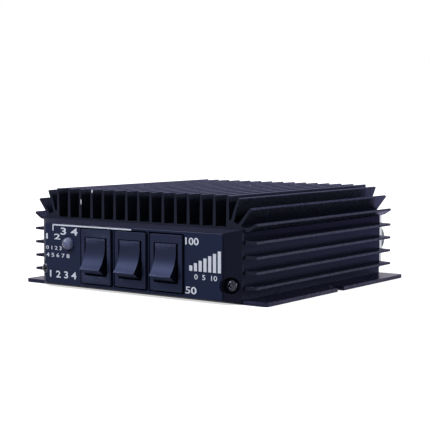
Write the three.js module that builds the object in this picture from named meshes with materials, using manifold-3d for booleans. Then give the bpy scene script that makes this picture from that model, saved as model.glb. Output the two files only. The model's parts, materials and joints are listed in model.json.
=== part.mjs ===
// An HF linear amplifier for a radio. Its case is a finned aluminium extrusion on a flanged base plate.
// A moulded front cap holds three rocker switches and a lamp; a rear panel holds two coaxial sockets
// and the grommet of the power lead. Inside are the circuit board, power transistors and relays.
// Lengths are millimetres. +Z is up, -Y is the front, and the origin is the centre of the underside.
import * as THREE from "three";
import { mergeVertices } from "three/addons/utils/BufferGeometryUtils.js";
import Module from "manifold-3d";

const wasm = await Module();
wasm.setup();

// Case
const bodyWidth = 97.9; // across the outsides of the side walls
const bodyLength = 100.5; // the extrusion, end to end
const faceMargin = 2.5; // case above and below the switches
const wallThickness = 2.8;
const deckThickness = 3.5;

// Clearances
const seatGap = 0.3; // between pieces that meet on a slanted or turned face
const slipGap = 0.25; // round a pin, shank or tube in its hole
const overrun = 1; // how far a cutting tool runs past the face that it cuts

// Base plate, which sticks out at both sides as a mounting flange with an open slot
const plateThickness = 1.5;
const flangeReach = 10.3;
const plateLip = 0.7; // how far the plate runs forward of the extrusion, under the cap
const flangeCorner = 1.5;
const slotWidth = 4.6;
const slotDepth = 5.2;

// Top fins
const topFinCount = 15;
const topFinHeight = 11.4;
const topFinRoot = 1.5;
const topFinTip = 1.05;
const topFinInset = 7.25; // from the side wall in to the outermost upright fin

// Side fins
const sideFinCount = 4;
const sideFinReach = 5.35;
const sideFinRoot = 1.4;
const sideFinTip = 1.0;
const firstSideFin = 4.5; // the lowest fin's middle, above the base plate's top
const lastGapShare = 0.95; // the gap under the corner fins, as a share of the side fins' pitch

// Corner fins, each a bent path of root, knee and tip from the corner of the case:
// outwards as a share of the side fins' reach, and upwards as a share of the top fins' height
const cornerRise = 2.9; // how far the deck climbs towards the outermost upright fin
const cornerFinShares = [
  [[-0.25, -0.1], [0.42, -0.045], [1, 0.115]],
  [[-0.48, 0.02], [0.02, 0.31], [0.53, 0.605]],
  [[-1.0, 0.12], [-0.77, 0.51], [-0.42, 0.92]],
];

// Inside of the side walls: a foot block with a screw port, a ledge for the circuit board and a rib over it
const footWidth = 6.55;
const portInset = 3.6; // from the side wall's outside in to the port's centre
const portHeight = 5.4; // above the base plate's top
const ledgeHeight = 8.6;
const ledgeWidth = 1.3;
const boardThickness = 1.6;
const boardSlack = 0.4;
const ribThickness = 1.2;

// Front cap: its ends are cut back, and its top and bottom slope a little
const capRim = 1.0;
const capDepth = 4.2; // of the part that stands out from the rim
const capEndCut = 5.2; // in from each end to the face
const capSideInset = 0.1;
const capTopInset = 0.6; // below the deck
const capFloorGap = 0.2;
const capTopSlope = 1.15;
const capWall = 1.8;
const wellRoom = 0.75; // round the head of a front screw, in its recess
const wellWall = 1.1;

// Printed label on the cap's face
const labelThickness = 0.5;
const labelEdge = 0.25; // bare cap round the label
const labelWindowGap = 0.6; // round each switch's bezel

// Rear panel
const rearThickness = 1.8;
const rearProud = 0.2; // past the side walls
const rearCorner = 5;

// Screws of the front cap and rear panel, the base plate and the power transistors' tabs
const panelScrewHead = 2.35;
const panelScrewRise = 1.7;
const panelScrewShank = 1.15;
const panelScrewLength = 8;
const plateScrewShank = 1.25;
const plateScrewLength = 6;
const plateSkin = 0.25; // base plate over a sunk head
const tabScrewHead = 2.4;
const tabScrewRise = 1.6;
const tabScrewShank = 1.25;
const crossWidth = 0.7;
const crossLength = 2.6;
const crossDepth = 0.9;
const crownShare = { radius: 0.62, rise: 0.55 }; // of a head's radius and height, where its top rounds over

// Rocker switches
const bezelWidth = 15;
const bezelHeight = 21;
const bezelThickness = 1.3;
const bezelCorner = 0.4;
const switchSpacing = 2.2; // between bezels
const switchShift = 1.2; // of the middle switch to the right of the case's middle
const bezelLip = 1.05; // how far the bezel stands out round the barrel behind it
const barrelSideWall = 0.75;
const barrelEndWall = 2;
const barrelDepth = 12.5;
const barrelFloor = 2;
const windowGap = 0.15; // between the barrel and its window in the cap
const barbReach = 0.7;
const barbWidth = 5;
const barbLength = 3;

// Rocker, drawn round its pivot
const rockerSideGap = 0.8;
const rockerEndGap = 0.3;
const pivotDepth = 2; // behind the bezel's front
const rockerTravel = 34; // degrees
const tipOverhang = 0.4; // of the finger edges past the rocker's skirt
const tipAngle = 34.3; // degrees from the face to a finger edge when the rocker is level
const tipLipAngle = 6; // degrees of skirt that a finger edge covers
const skirtDropAngle = 12; // degrees that the skirt wraps below the pivot
const valleyHeight = 2.9; // the face's middle over the pivot
const rockerPlate = 2.4; // thickness behind the face's middle
const trunnionRadius = 1.2;
const trunnionPocket = 0.5; // depth in the barrel's side wall
const stemWidth = 3.6;
const stemThickness = 2.2;
const stemLength = 6.1;

// Contact lever and terminals of a switch
const leverTravel = 16; // degrees
const leverWidth = 4.4;
const leverLength = 11;
const leverThickness = 0.6;
const leverGap = 0.35; // between the rocker's stem and the lever when both are level
const bladeWidth = 4.8;
const bladeThickness = 0.8;
const bladeReach = 8; // behind the housing
const padThickness = 0.5;
const padWidth = 2;

// Lamp
const lampSpacing = 7.5; // from the left switch's bezel to the lamp's middle
const lampRise = 4.2; // above the switches' middles
const lampRadius = 2.5;
const lampFlangeLip = 0.6;
const lampFlangeThickness = 1.1;
const lampBody = 3.2; // behind the flange
const lampHoleGap = 0.2;
const lampLead = 0.6;
const lampLeadLength = 9;
const lampLeadOffset = 1.27; // from the lamp's middle
const clipWall = 1.2;
const clipLength = 2.6;

// Coaxial sockets
const socketInset = 14.45; // from the side wall's outside to the socket's middle
const socketRise = 13.1; // above the base plate
const shellRadius = 7.9;
const shellWall = 1.8;
const shellReach = 16;
const shellFlangeLip = 1.3;
const shellFlangeThickness = 1.6;
const mouthDepth = 5.6; // from the rim down to the insulator
const insulatorTail = 3;
const contactRadius = 2.9;
const contactWall = 0.85;
const contactBoreDepth = 12;
const contactTail = 4.5;
const nutWall = 1.3; // at a flat
const nutThickness = 2.6;

// Power lead grommet
const grommetBore = 3.4;
const grommetWall = 1.2;
const grommetCollar = 1.6;
const grommetLip = 1.5;

// Circuit board and what it carries
const boardFrontGap = 27; // from the extrusion's front end
const boardRearGap = 13;
const topRoom = 1.8; // over the tallest pieces
const relayWidth = 10;
const relayLength = 20;
const relayRearGap = 7; // to the board's rear edge
const relaySpotShare = 0.36; // of the board's width, from its middle
const outputCoreWidth = 25;
const outputCoreLength = 20;
const outputCoreRearGap = 6.94; // to the board's rear edge
const outputBore = 2.8;
const outputStrap = 1.2;
const inputCoreWidth = 13;
const inputCoreLength = 9;
const inputCoreHeight = 7.5;
const inputCoreSpotShare = { across: 0, along: 0.2 };
const inputBore = 1.8;
const chokeSpotShare = { across: -0.34, along: 0.22 };
const chokeRadius = 7;
const chokeBore = 3.4;
const chokeHeight = 6.5;
const canSpotShare = { across: 0.34, along: 0.22 };
const preampSpotShare = { across: -0.15, along: 0.2 };
const preampRadius = 3.2;
const preampRim = 0.8;
const preampHeight = 5;
const canRadius = 4;
const canLength = 12;

// Power transistors, flat against the underside of the deck
const transistorSpacing = 22;
const stageGap = 0.41; // from the transistors' leads to the output transformer
const packageWidth = 10;
const packageLength = 9;
const packageThickness = 4.3;
const tabLength = 6.4;
const tabThickness = 1.3;
const tabHoleShare = 0.5;
const leadWidth = 0.9;
const leadThickness = 0.6;
const leadSpacing = 2.54;
const leadReach = 3;
const padMargin = 1.5;
const insulatorPad = 0.3;
const deckSkin = 0.6; // deck over a tab screw's hole

// Wires, which land on the board
const wireRadius = 0.65;
const wireLanding = 4; // in from the board's edge
const wireLift = 8; // how high a switch's wire loops over the board's edge
const busOverhang = 2; // of the bus wire past the first switch
const busStep = 7; // sideways from the last switch to the bus wire's landing

// Numbers of sides of round pieces, and of steps along curves
const sides = { wire: 8, small: 12, screw: 16, medium: 24, large: 32 };
const wireSteps = 10;
const busSteps = 24;
const archSteps = 5;

// Places worked out from the sizes above
const plateWidth = bodyWidth + 2 * flangeReach;
const plateLength = plateLip + bodyLength + rearThickness;
const plateFront = -plateLength / 2;
const caseHeight = bezelHeight + 2 * faceMargin;
const bodyFront = plateFront + plateLip;
const bodyRear = bodyFront + bodyLength;
const panelRear = bodyRear + rearThickness;
const wallOutside = bodyWidth / 2;
const wallInside = wallOutside - wallThickness;
const deckTop = plateThickness + caseHeight;
const ceiling = deckTop - deckThickness;
const portX = wallOutside - portInset;
const portZ = plateThickness + portHeight;
const footInside = wallOutside - footWidth;
const ledgeTop = plateThickness + ledgeHeight;
const grooveOutside = footInside + ledgeWidth;
const grooveTop = ledgeTop + boardThickness + boardSlack;
const panelScrew = {
  head: panelScrewHead,
  rise: panelScrewRise,
  shank: panelScrewShank,
  length: panelScrewLength,
};
const portRadius = panelScrew.shank + slipGap;
const panelHoleRadius = panelScrew.shank + 2 * slipGap;
const wellRadius = panelScrew.head + wellRoom;
const capHalf = wallOutside - capSideInset;
const capTop = deckTop - capTopInset;
const capBackY = bodyFront - capRim;
const capFaceY = capBackY - capDepth;
const capFaceHalf = capHalf - capEndCut;
const labelFaceY = capFaceY - labelThickness;
const boardFront = bodyFront + boardFrontGap;
const boardRear = bodyRear - boardRearGap;
const boardTop = ledgeTop + boardThickness;
const boardHalf = grooveOutside - seatGap;
const socketX = wallOutside - socketInset;
const socketHeight = plateThickness + socketRise;
const bayHeight = ceiling - boardTop - topRoom;
const relay = { width: relayWidth, length: relayLength, height: bayHeight };
const outputCore = { width: outputCoreWidth, length: outputCoreLength, height: bayHeight };
const inputCore = { width: inputCoreWidth, length: inputCoreLength, height: inputCoreHeight };
const outputCoreY = boardRear - outputCoreRearGap - outputCoreLength / 2;
const windingEnd = outputCoreLength / 2 + slipGap + outputStrap;
const transistorY = outputCoreY - windingEnd - stageGap - leadReach - packageLength / 2;
const tabHoleY = transistorY - packageLength / 2 - tabLength * tabHoleShare;
const sunkRise = plateThickness - plateSkin;
const plateScrew = {
  head: plateScrewShank + sunkRise,
  rise: sunkRise,
  shank: plateScrewShank,
  length: plateScrewLength,
};
const tabHoleDepth = deckThickness - deckSkin;
const tabScrew = {
  head: tabScrewHead,
  rise: tabScrewRise,
  shank: tabScrewShank,
  length: tabThickness + insulatorPad + tabHoleDepth - slipGap,
};

// Sizes of a switch worked out from its bezel
const switchPitch = bezelWidth + switchSpacing;
const switchHeight = (capFloorGap + capTop) / 2;
const barrelWidth = bezelWidth - 2 * bezelLip;
const barrelHeight = bezelHeight - 2 * bezelLip;
const cavityWidth = barrelWidth - 2 * barrelSideWall;
const cavityHeight = barrelHeight - 2 * barrelEndWall;
const rockerWidth = cavityWidth - 2 * rockerSideGap;
const skirtRadius = cavityHeight / 2 - rockerEndGap;
const tipRadius = skirtRadius + tipOverhang;
const trunnionEnd = cavityWidth / 2 + trunnionPocket - slipGap;
const pivotY = pivotDepth - bezelThickness;
const leverPivotY = pivotY + stemLength + leverGap + leverThickness;
const lampX = switchShift - switchPitch - bezelWidth / 2 - lampSpacing;
const lampHeight = switchHeight + lampRise;
const radians = THREE.MathUtils.degToRad;

// Materials
const finish = (color, roughness, metalness) =>
  new THREE.MeshStandardMaterial({ color, roughness, metalness });
const materials = {
  anodised: finish(0x17171f, 0.45, 0.6),
  coated: finish(0x191923, 0.5, 0.3),
  moulding: finish(0x14141c, 0.45, 0),
  label: finish(0x1b1d30, 0.4, 0),
  switchPlastic: finish(0x20212f, 0.35, 0),
  aluminium: finish(0xc9cbd0, 0.35, 0.9),
  blackSteel: finish(0x1a1a1e, 0.35, 0.8),
  steel: finish(0xb4b6bc, 0.3, 0.9),
  nickel: finish(0xc4c4c2, 0.25, 1),
  brass: finish(0xb8964a, 0.3, 1),
  copper: finish(0xb06a40, 0.35, 1),
  lens: finish(0xa9aec0, 0.25, 0),
  white: finish(0xe6e4dc, 0.5, 0),
  rubber: finish(0x101012, 0.8, 0),
  laminate: finish(0x2f5a34, 0.6, 0),
  ferrite: finish(0x35353a, 0.7, 0.1),
  epoxy: finish(0x1c1c1e, 0.6, 0),
  relayCase: finish(0x2b5aa0, 0.4, 0),
  canSleeve: finish(0x22304f, 0.4, 0.1),
  silicone: finish(0x9aa0a4, 0.8, 0),
};

// Makes a closed geometry a solid that can be joined and cut.
function solidOf(geometry) {
  const bare = geometry.index ? geometry.toNonIndexed() : geometry.clone();
  for (const name of Object.keys(bare.attributes)) {
    if (name !== "position") bare.deleteAttribute(name);
  }
  const merged = mergeVertices(bare);
  const vertProperties = merged.attributes.position.array;
  const triVerts = new Uint32Array(merged.index.array);
  return new wasm.Manifold(new wasm.Mesh({ numProp: 3, vertProperties, triVerts }));
}

// Makes a solid a geometry again.
function geometryOf(solid) {
  const { vertProperties, triVerts } = solid.getMesh();
  const geometry = new THREE.BufferGeometry();
  geometry.setAttribute("position", new THREE.BufferAttribute(vertProperties, 3));
  geometry.setIndex(new THREE.BufferAttribute(triVerts, 1));
  geometry.computeVertexNormals();
  return geometry;
}

const join = (solids) => solids.reduce((whole, next) => whole.add(next));
const cut = (solid, tools) => tools.reduce((left, tool) => left.subtract(tool), solid);

const shapeOf = (points) => new THREE.Shape(points.map(([u, v]) => new THREE.Vector2(u, v)));

// A block between two corners.
function block([x0, y0, z0], [x1, y1, z1]) {
  const geometry = new THREE.BoxGeometry(x1 - x0, y1 - y0, z1 - z0);
  return solidOf(geometry.translate((x0 + x1) / 2, (y0 + y1) / 2, (z0 + z1) / 2));
}

// A prism along Y from an outline in X and Z, given as a shape or as a list of points.
function prism(outline, front, rear) {
  const shape = Array.isArray(outline) ? shapeOf(outline) : outline;
  const geometry = new THREE.ExtrudeGeometry(shape, {
    depth: rear - front,
    bevelEnabled: false,
    curveSegments: sides.small / 4,
  });
  return solidOf(geometry.rotateX(Math.PI / 2).translate(0, rear, 0));
}

// A prism along X, centred on X = 0, from an outline in Y and Z.
function crossPrism(outline, width) {
  const geometry = new THREE.ExtrudeGeometry(shapeOf(outline), { depth: width, bevelEnabled: false });
  const along = new THREE.Matrix4().makeBasis(
    new THREE.Vector3(0, 1, 0),
    new THREE.Vector3(0, 0, 1),
    new THREE.Vector3(1, 0, 0),
  );
  return solidOf(geometry.translate(0, 0, -width / 2).applyMatrix4(along));
}

// A round rod along one axis, between two places on that axis, centred on the other two.
function rod(axis, radius, from, to, centre, count = sides.medium) {
  const geometry = new THREE.CylinderGeometry(radius, radius, to - from, count);
  if (axis === "x") geometry.rotateZ(-Math.PI / 2);
  if (axis === "z") geometry.rotateX(Math.PI / 2);
  const middle = (from + to) / 2;
  const place = {
    x: [middle, centre[0], centre[1]],
    y: [centre[0], middle, centre[1]],
    z: [centre[0], centre[1], middle],
  }[axis];
  return solidOf(geometry.translate(...place));
}

// A solid turned round the Y axis from a profile of radius and Y, run from the front to the rear.
function turned(profile, count = sides.medium) {
  const points = profile.map(([radius, y]) => new THREE.Vector2(radius, y));
  return solidOf(new THREE.LatheGeometry(points, count));
}

// A ring turned round the Y axis, whose profile closes on itself.
const ring = (profile, count = sides.medium) => turned([...profile, profile[0]], count);

// A rectangle with round corners, in X and Z.
function roundedRectangle(width, height, corner, x = 0, z = 0) {
  const [w, h] = [width / 2, height / 2];
  const shape = new THREE.Shape();
  shape.absarc(x + w - corner, z + h - corner, corner, 0, Math.PI / 2);
  shape.absarc(x - w + corner, z + h - corner, corner, Math.PI / 2, Math.PI);
  shape.absarc(x - w + corner, z - h + corner, corner, Math.PI, Math.PI * 1.5);
  shape.absarc(x + w - corner, z - h + corner, corner, Math.PI * 1.5, Math.PI * 2);
  return shape;
}

// A solid between two upright rectangles, each given as its Y, half width, bottom and top.
function loft(a, b) {
  const corners = [a, b].flatMap(({ y, half, bottom, top }) => [
    [-half, y, bottom],
    [half, y, bottom],
    [half, y, top],
    [-half, y, top],
  ]);
  const geometry = new THREE.BufferGeometry();
  geometry.setAttribute("position", new THREE.Float32BufferAttribute(corners.flat(), 3));
  const faces = [[0, 1, 2, 3], [5, 4, 7, 6], [1, 5, 6, 2], [4, 0, 3, 7], [3, 2, 6, 7], [4, 5, 1, 0]];
  geometry.setIndex(faces.flatMap(([p, q, r, s]) => [p, q, r, p, r, s]));
  return solidOf(geometry);
}

// A named piece of the amplifier.
function piece(name, solid, material) {
  const mesh = new THREE.Mesh(geometryOf(solid), material.clone());
  mesh.name = name;
  return mesh;
}

// A cross-head screw along +Y, whose head sits on the plane Y = 0.
function screwSolid({ head, rise, shank, length }, sunk = false) {
  const crown = [[head * crownShare.radius, -rise], [head, -rise * crownShare.rise], [head, 0]];
  const top = sunk ? [[head, -rise]] : crown;
  const profile = [[0, -rise], ...top, [shank, 0], [shank, length - shank], [0, length]];
  const arm = crossLength / 2;
  const half = crossWidth / 2;
  return cut(turned(profile, sides.screw), [
    block([-arm, -rise - overrun, -half], [arm, -rise + crossDepth, half]),
    block([-half, -rise - overrun, -arm], [half, -rise + crossDepth, arm]),
  ]);
}

// An upright or slanting fin from its path of centres in X and Z, tapering from root to tip.
function fin(path, root, tip, front, rear) {
  const points = path.map(([x, z]) => new THREE.Vector2(x, z));
  const last = points.length - 1;
  const edges = points.map((point, i) => {
    const along = points[Math.min(i + 1, last)].clone().sub(points[Math.max(i - 1, 0)]).normalize();
    const half = THREE.MathUtils.lerp(root, tip, i / last) / 2;
    const across = new THREE.Vector2(-along.y, along.x).multiplyScalar(half);
    return [point.clone().add(across), point.clone().sub(across)];
  });
  const outline = [...edges.map((e) => e[1]), ...edges.map((e) => e[0]).reverse()];
  return prism(outline.map((p) => [p.x, p.y]), front, rear);
}

const mirrored = (points) => points.map(([x, z]) => [-x, z]);

// The extruded heatsink: an upside-down channel with fins on its deck, its corners and its walls.
function heatsinkSolid() {
  const outermostFin = wallOutside - topFinInset;
  const outside = [
    [wallOutside, plateThickness],
    [wallOutside, deckTop],
    [outermostFin, deckTop + cornerRise],
    [outermostFin, deckTop],
  ];
  const inside = [
    [footInside, plateThickness],
    [footInside, ledgeTop],
    [grooveOutside, ledgeTop],
    [grooveOutside, grooveTop],
    [footInside, grooveTop],
    [footInside, grooveTop + ribThickness],
    [wallInside, grooveTop + ribThickness],
    [wallInside, ceiling],
  ];
  const outline = [...outside, ...mirrored(outside).reverse(), ...mirrored(inside), ...inside.reverse()];
  const channel = prism(outline, bodyFront, bodyRear);

  const topPitch = (2 * outermostFin) / (topFinCount - 1);
  const topFins = Array.from({ length: topFinCount }, (_, i) => {
    const x = -outermostFin + i * topPitch;
    const path = [[x, deckTop - deckThickness / 2], [x, deckTop + topFinHeight]];
    return fin(path, topFinRoot, topFinTip, bodyFront, bodyRear);
  });

  const firstFin = plateThickness + firstSideFin;
  const sidePitch = (deckTop - firstFin) / (sideFinCount - 1 + lastGapShare);
  const sidePaths = Array.from({ length: sideFinCount }, (_, i) => {
    const z = firstFin + i * sidePitch;
    return [[wallOutside - wallThickness / 2, z], [wallOutside + sideFinReach, z]];
  });
  const cornerPaths = cornerFinShares.map((path) =>
    path.map(([out, up]) => [wallOutside + out * sideFinReach, deckTop + up * topFinHeight]));
  const outerFins = [...sidePaths, ...cornerPaths].flatMap((path) =>
    [path, mirrored(path)].map((p) => fin(p, sideFinRoot, sideFinTip, bodyFront, bodyRear)));

  const ports = [-1, 1].map((side) =>
    rod("y", portRadius, bodyFront - overrun, bodyRear + overrun, [side * portX, portZ], sides.screw));
  const plateHoles = plateScrewSpots().map(({ x, y }) =>
    rod("z", plateScrew.shank + slipGap, 0, plateScrew.length + overrun, [x, y], sides.screw));
  const tabHoles = [-1, 1].map((side) =>
    rod("z", tabScrew.shank + slipGap, ceiling - overrun, ceiling + tabHoleDepth,
      [(side * transistorSpacing) / 2, tabHoleY], sides.screw));
  return cut(join([channel, ...topFins, ...outerFins]), [...ports, ...plateHoles, ...tabHoles]);
}

// The four screws under the base plate, into the feet of the side walls.
function plateScrewSpots() {
  const inFromEnd = panelScrew.length + 2 * plateScrew.head;
  return [
    { name: "front_left", x: -portX, y: bodyFront + inFromEnd },
    { name: "front_right", x: portX, y: bodyFront + inFromEnd },
    { name: "rear_left", x: -portX, y: bodyRear - inFromEnd },
    { name: "rear_right", x: portX, y: bodyRear - inFromEnd },
  ];
}

// The base plate, with an open slot half way along each flange.
function basePlateSolid() {
  const half = plateWidth / 2;
  const flat = new THREE.ExtrudeGeometry(roundedRectangle(plateWidth, plateLength, flangeCorner), {
    depth: plateThickness,
    bevelEnabled: false,
    curveSegments: sides.small / 4,
  });
  const slots = [-1, 1].flatMap((side) => {
    const end = half - slotDepth + slotWidth / 2;
    const [from, to] = side > 0 ? [end, half + overrun] : [-half - overrun, -end];
    return [
      block([from, -slotWidth / 2, -overrun], [to, slotWidth / 2, plateThickness + overrun]),
      rod("z", slotWidth / 2, -overrun, plateThickness + overrun, [side * end, 0], sides.medium),
    ];
  });
  const grow = slipGap + plateScrew.shank;
  const sink = solidOf(
    new THREE.CylinderGeometry(grow, plateScrew.head + slipGap, plateScrew.rise, sides.screw)
      .rotateX(Math.PI / 2).translate(0, 0, plateScrew.rise / 2),
  );
  const holes = plateScrewSpots().flatMap(({ x, y }) => [
    sink.translate([x, y, 0]),
    rod("z", plateScrew.head + slipGap, -overrun, 0, [x, y], sides.screw),
    rod("z", grow, -overrun, plateThickness + overrun, [x, y], sides.screw),
  ]);
  return cut(solidOf(flat), [...slots, ...holes]);
}

// Where the three switches stand, from left to right.
const switchSpots = ["left", "middle", "right"].map((name, i) => ({
  name: `${name}_switch`,
  x: switchShift + (i - 1) * switchPitch,
}));

// A tool that cuts one opening for each switch through a wall of the cap or label.
const switchCuts = (width, height, front, rear, corner) =>
  switchSpots.map(({ x }) => prism(roundedRectangle(width, height, corner, x, switchHeight), front, rear));

// The wells round the two front screws, cut along the screws.
const screwWells = (rear) => [-1, 1].map((side) =>
  rod("y", wellRadius, labelFaceY - overrun, rear, [side * portX, portZ], sides.large));

// The moulded cap that closes the front.
function frontCapSolid() {
  const back = { y: capBackY, half: capHalf, bottom: capFloorGap, top: capTop };
  const face = {
    y: capFaceY,
    half: capFaceHalf,
    bottom: capFloorGap + capTopSlope,
    top: capTop - capTopSlope,
  };
  const rim = { ...back, y: bodyFront };
  const shell = loft(face, back).add(loft(back, rim));
  const inward = (at, y) => ({
    y,
    half: at.half - capWall,
    bottom: at.bottom + capWall,
    top: at.top - capWall,
  });
  const hollow = loft(inward(face, capFaceY + capWall), inward(back, capBackY))
    .add(loft(inward(back, capBackY), inward(rim, bodyFront + overrun)));
  const bosses = [-1, 1].map((side) =>
    rod("y", wellRadius + wellWall, capFaceY, bodyFront, [side * portX, portZ], sides.large)
      .intersect(shell));
  const lipTop = plateThickness + seatGap;
  return cut(join([cut(shell, [hollow]), ...bosses]), [
    ...screwWells(capBackY),
    ...[-1, 1].map((side) =>
      rod("y", panelHoleRadius, capFaceY, bodyFront + overrun, [side * portX, portZ], sides.screw)),
    ...switchCuts(barrelWidth + 2 * windowGap, barrelHeight + 2 * windowGap,
      capFaceY - overrun, capFaceY + capWall + overrun, windowGap),
    rod("y", lampRadius + lampHoleGap, capFaceY - overrun, capFaceY + capWall + overrun,
      [lampX, lampHeight], sides.medium),
    block([-wallOutside, plateFront - seatGap, -overrun], [wallOutside, bodyFront + overrun, lipTop]),
  ]);
}

// The printed label, a thin sheet with windows round the switches and the lamp.
function labelSolid() {
  const width = 2 * (capFaceHalf - labelThickness - labelEdge) + 2 * labelThickness;
  const bottom = capFloorGap + capTopSlope + labelEdge;
  const top = capTop - capTopSlope - labelEdge;
  const outline = roundedRectangle(width, top - bottom, labelThickness, 0, (top + bottom) / 2);
  return cut(prism(outline, labelFaceY, capFaceY), [
    ...screwWells(capFaceY + overrun),
    ...switchCuts(bezelWidth + 2 * labelWindowGap, bezelHeight + 2 * labelWindowGap,
      labelFaceY - overrun, capFaceY + overrun, bezelCorner + labelWindowGap),
    rod("y", lampRadius + 2 * lampHoleGap, labelFaceY - overrun, capFaceY + overrun,
      [lampX, lampHeight], sides.medium),
  ]);
}

// The rear panel, with its lower corners rounded.
function rearPanelSolid() {
  const half = wallOutside + rearProud;
  const bottom = plateThickness;
  const top = deckTop - rearProud;
  const shape = new THREE.Shape();
  shape.moveTo(half, top);
  shape.lineTo(-half, top);
  shape.absarc(-half + rearCorner, bottom + rearCorner, rearCorner, Math.PI, Math.PI * 1.5);
  shape.absarc(half - rearCorner, bottom + rearCorner, rearCorner, Math.PI * 1.5, Math.PI * 2);
  const hole = (radius, x, z, count) =>
    rod("y", radius, bodyRear - overrun, panelRear + overrun, [x, z], count);
  return cut(prism(shape, bodyRear, panelRear), [
    ...[-1, 1].flatMap((side) => [
      hole(shellRadius + slipGap, side * socketX, socketHeight, sides.large),
      hole(panelHoleRadius, side * portX, portZ, sides.screw),
    ]),
    hole(grommetBore + grommetWall + slipGap, 0, socketHeight, sides.medium),
  ]);
}

// The housing of a switch, with its origin on the cap's face at the middle of the bezel.
function housingSolid() {
  const barrelHalf = { x: barrelWidth / 2, z: barrelHeight / 2 };
  const cavityHalf = { x: cavityWidth / 2, z: cavityHeight / 2 };
  const bezel = prism(roundedRectangle(bezelWidth, bezelHeight, bezelCorner), -bezelThickness, 0);
  const barrel = block([-barrelHalf.x, -bezelThickness / 2, -barrelHalf.z],
    [barrelHalf.x, barrelDepth, barrelHalf.z]);
  const behindWall = capWall + seatGap;
  const barbs = [-1, 1].map((side) => crossPrism([
    [behindWall, side * (barrelHalf.z - barbReach)],
    [behindWall, side * (barrelHalf.z + barbReach)],
    [behindWall + barbLength, side * (barrelHalf.z - barbReach)],
  ], barbWidth));
  const cavity = block([-cavityHalf.x, -bezelThickness - overrun, -cavityHalf.z],
    [cavityHalf.x, barrelDepth - barrelFloor, cavityHalf.z]);
  const pivotPocket = rod("x", trunnionRadius + slipGap, -cavityHalf.x - trunnionPocket,
    cavityHalf.x + trunnionPocket, [pivotY, 0], sides.screw);
  const slots = [0, loadTerminalZ].map((z) =>
    block([-bladeWidth / 2 - slipGap, barrelDepth - barrelFloor - overrun, z - bladeThickness / 2 - slipGap],
      [bladeWidth / 2 + slipGap, barrelDepth + overrun, z + bladeThickness / 2 + slipGap]));
  return cut(join([bezel, barrel, ...barbs]), [cavity, pivotPocket, ...slots]);
}

// Points on an arc round the origin, as places in Z and outwards, at angles in degrees from Z.
const arcPoints = (radius, from, to, steps) => Array.from({ length: steps + 1 }, (_, i) => {
  const angle = radians(THREE.MathUtils.lerp(from, to, i / steps));
  return [radius * Math.cos(angle), radius * Math.sin(angle)];
});

// The rocker, level, with its pivot at the origin and its hollow face towards -Y.
function rockerSolid() {
  const [[tipZ, tipOut]] = arcPoints(tipRadius, tipAngle, tipAngle, 1);
  const sagitta = tipOut - valleyHeight;
  const hollowRadius = (tipZ * tipZ + sagitta * sagitta) / (2 * sagitta);
  const face = Array.from({ length: archSteps + 1 }, (_, i) => {
    const z = (tipZ * i) / archSteps;
    return [z, valleyHeight + hollowRadius - Math.sqrt(hollowRadius * hollowRadius - z * z)];
  });
  const skirt = arcPoints(skirtRadius, tipAngle - tipLipAngle, -skirtDropAngle, archSteps);
  const back = [
    [skirtRadius - rockerPlate, skirt[archSteps][1]],
    [skirtRadius - rockerPlate, 0],
    [stemThickness, valleyHeight - rockerPlate],
  ];
  const half = [...face, ...skirt, ...back];
  const lower = half.slice(1).map(([z, out]) => [-z, out]).reverse();
  const slab = crossPrism([...half, ...lower].map(([z, out]) => [-out, z]), rockerWidth);
  const trunnions = rod("x", trunnionRadius, -trunnionEnd, trunnionEnd, [0, 0], sides.screw);
  const stemTip = stemLength - stemThickness / 2;
  const stem = block([-stemWidth / 2, rockerPlate / 2 - valleyHeight, -stemThickness / 2],
    [stemWidth / 2, stemTip, stemThickness / 2])
    .add(rod("x", stemThickness / 2, -stemWidth / 2, stemWidth / 2, [stemTip, 0], sides.small));
  return join([slab, trunnions, stem]);
}

// Where the load terminal's head lies, under the end of the lever.
const loadTerminalZ = (padWidth - leverLength) / 2;

// The contact lever, level, rocking on the origin with its stem side towards -Y.
function leverSolid() {
  return block([-leverWidth / 2, -leverThickness, -leverLength / 2], [leverWidth / 2, 0, leverLength / 2]);
}

// A terminal: a blade through the housing's floor with a head that the lever rests on or touches.
function terminalSolid(headY, z) {
  const blade = block([-bladeWidth / 2, headY, z - bladeThickness / 2],
    [bladeWidth / 2, barrelDepth + bladeReach, z + bladeThickness / 2]);
  const head = block([-leverWidth / 2, headY, z - padWidth / 2],
    [leverWidth / 2, headY + padThickness, z + padWidth / 2]);
  return blade.add(head);
}

// One rocker switch, with its rocker pressed at the top and its lever tipped towards the load terminal.
function rockerSwitch({ name, x }) {
  const unit = new THREE.Group();
  unit.position.set(x, capFaceY, switchHeight);
  const rocker = piece(`${name}_rocker`, rockerSolid(), materials.switchPlastic);
  rocker.position.set(0, pivotY, 0);
  rocker.rotation.x = -radians(rockerTravel) / 2;
  const lever = piece(`${name}_contact_lever`, leverSolid(), materials.brass);
  lever.position.set(0, leverPivotY, 0);
  lever.rotation.x = radians(leverTravel) / 2;
  const tilt = Math.sin(radians(leverTravel / 2));
  const saddleY = leverPivotY + (tilt * padWidth) / 2 + seatGap;
  const loadY = leverPivotY + (tilt * leverLength) / 2 + seatGap;
  unit.add(
    piece(`${name}_housing`, housingSolid(), materials.switchPlastic),
    rocker,
    lever,
    piece(`${name}_common_terminal`, terminalSolid(saddleY, 0), materials.brass),
    piece(`${name}_load_terminal`, terminalSolid(loadY, loadTerminalZ), materials.brass),
  );
  return unit;
}

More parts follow.
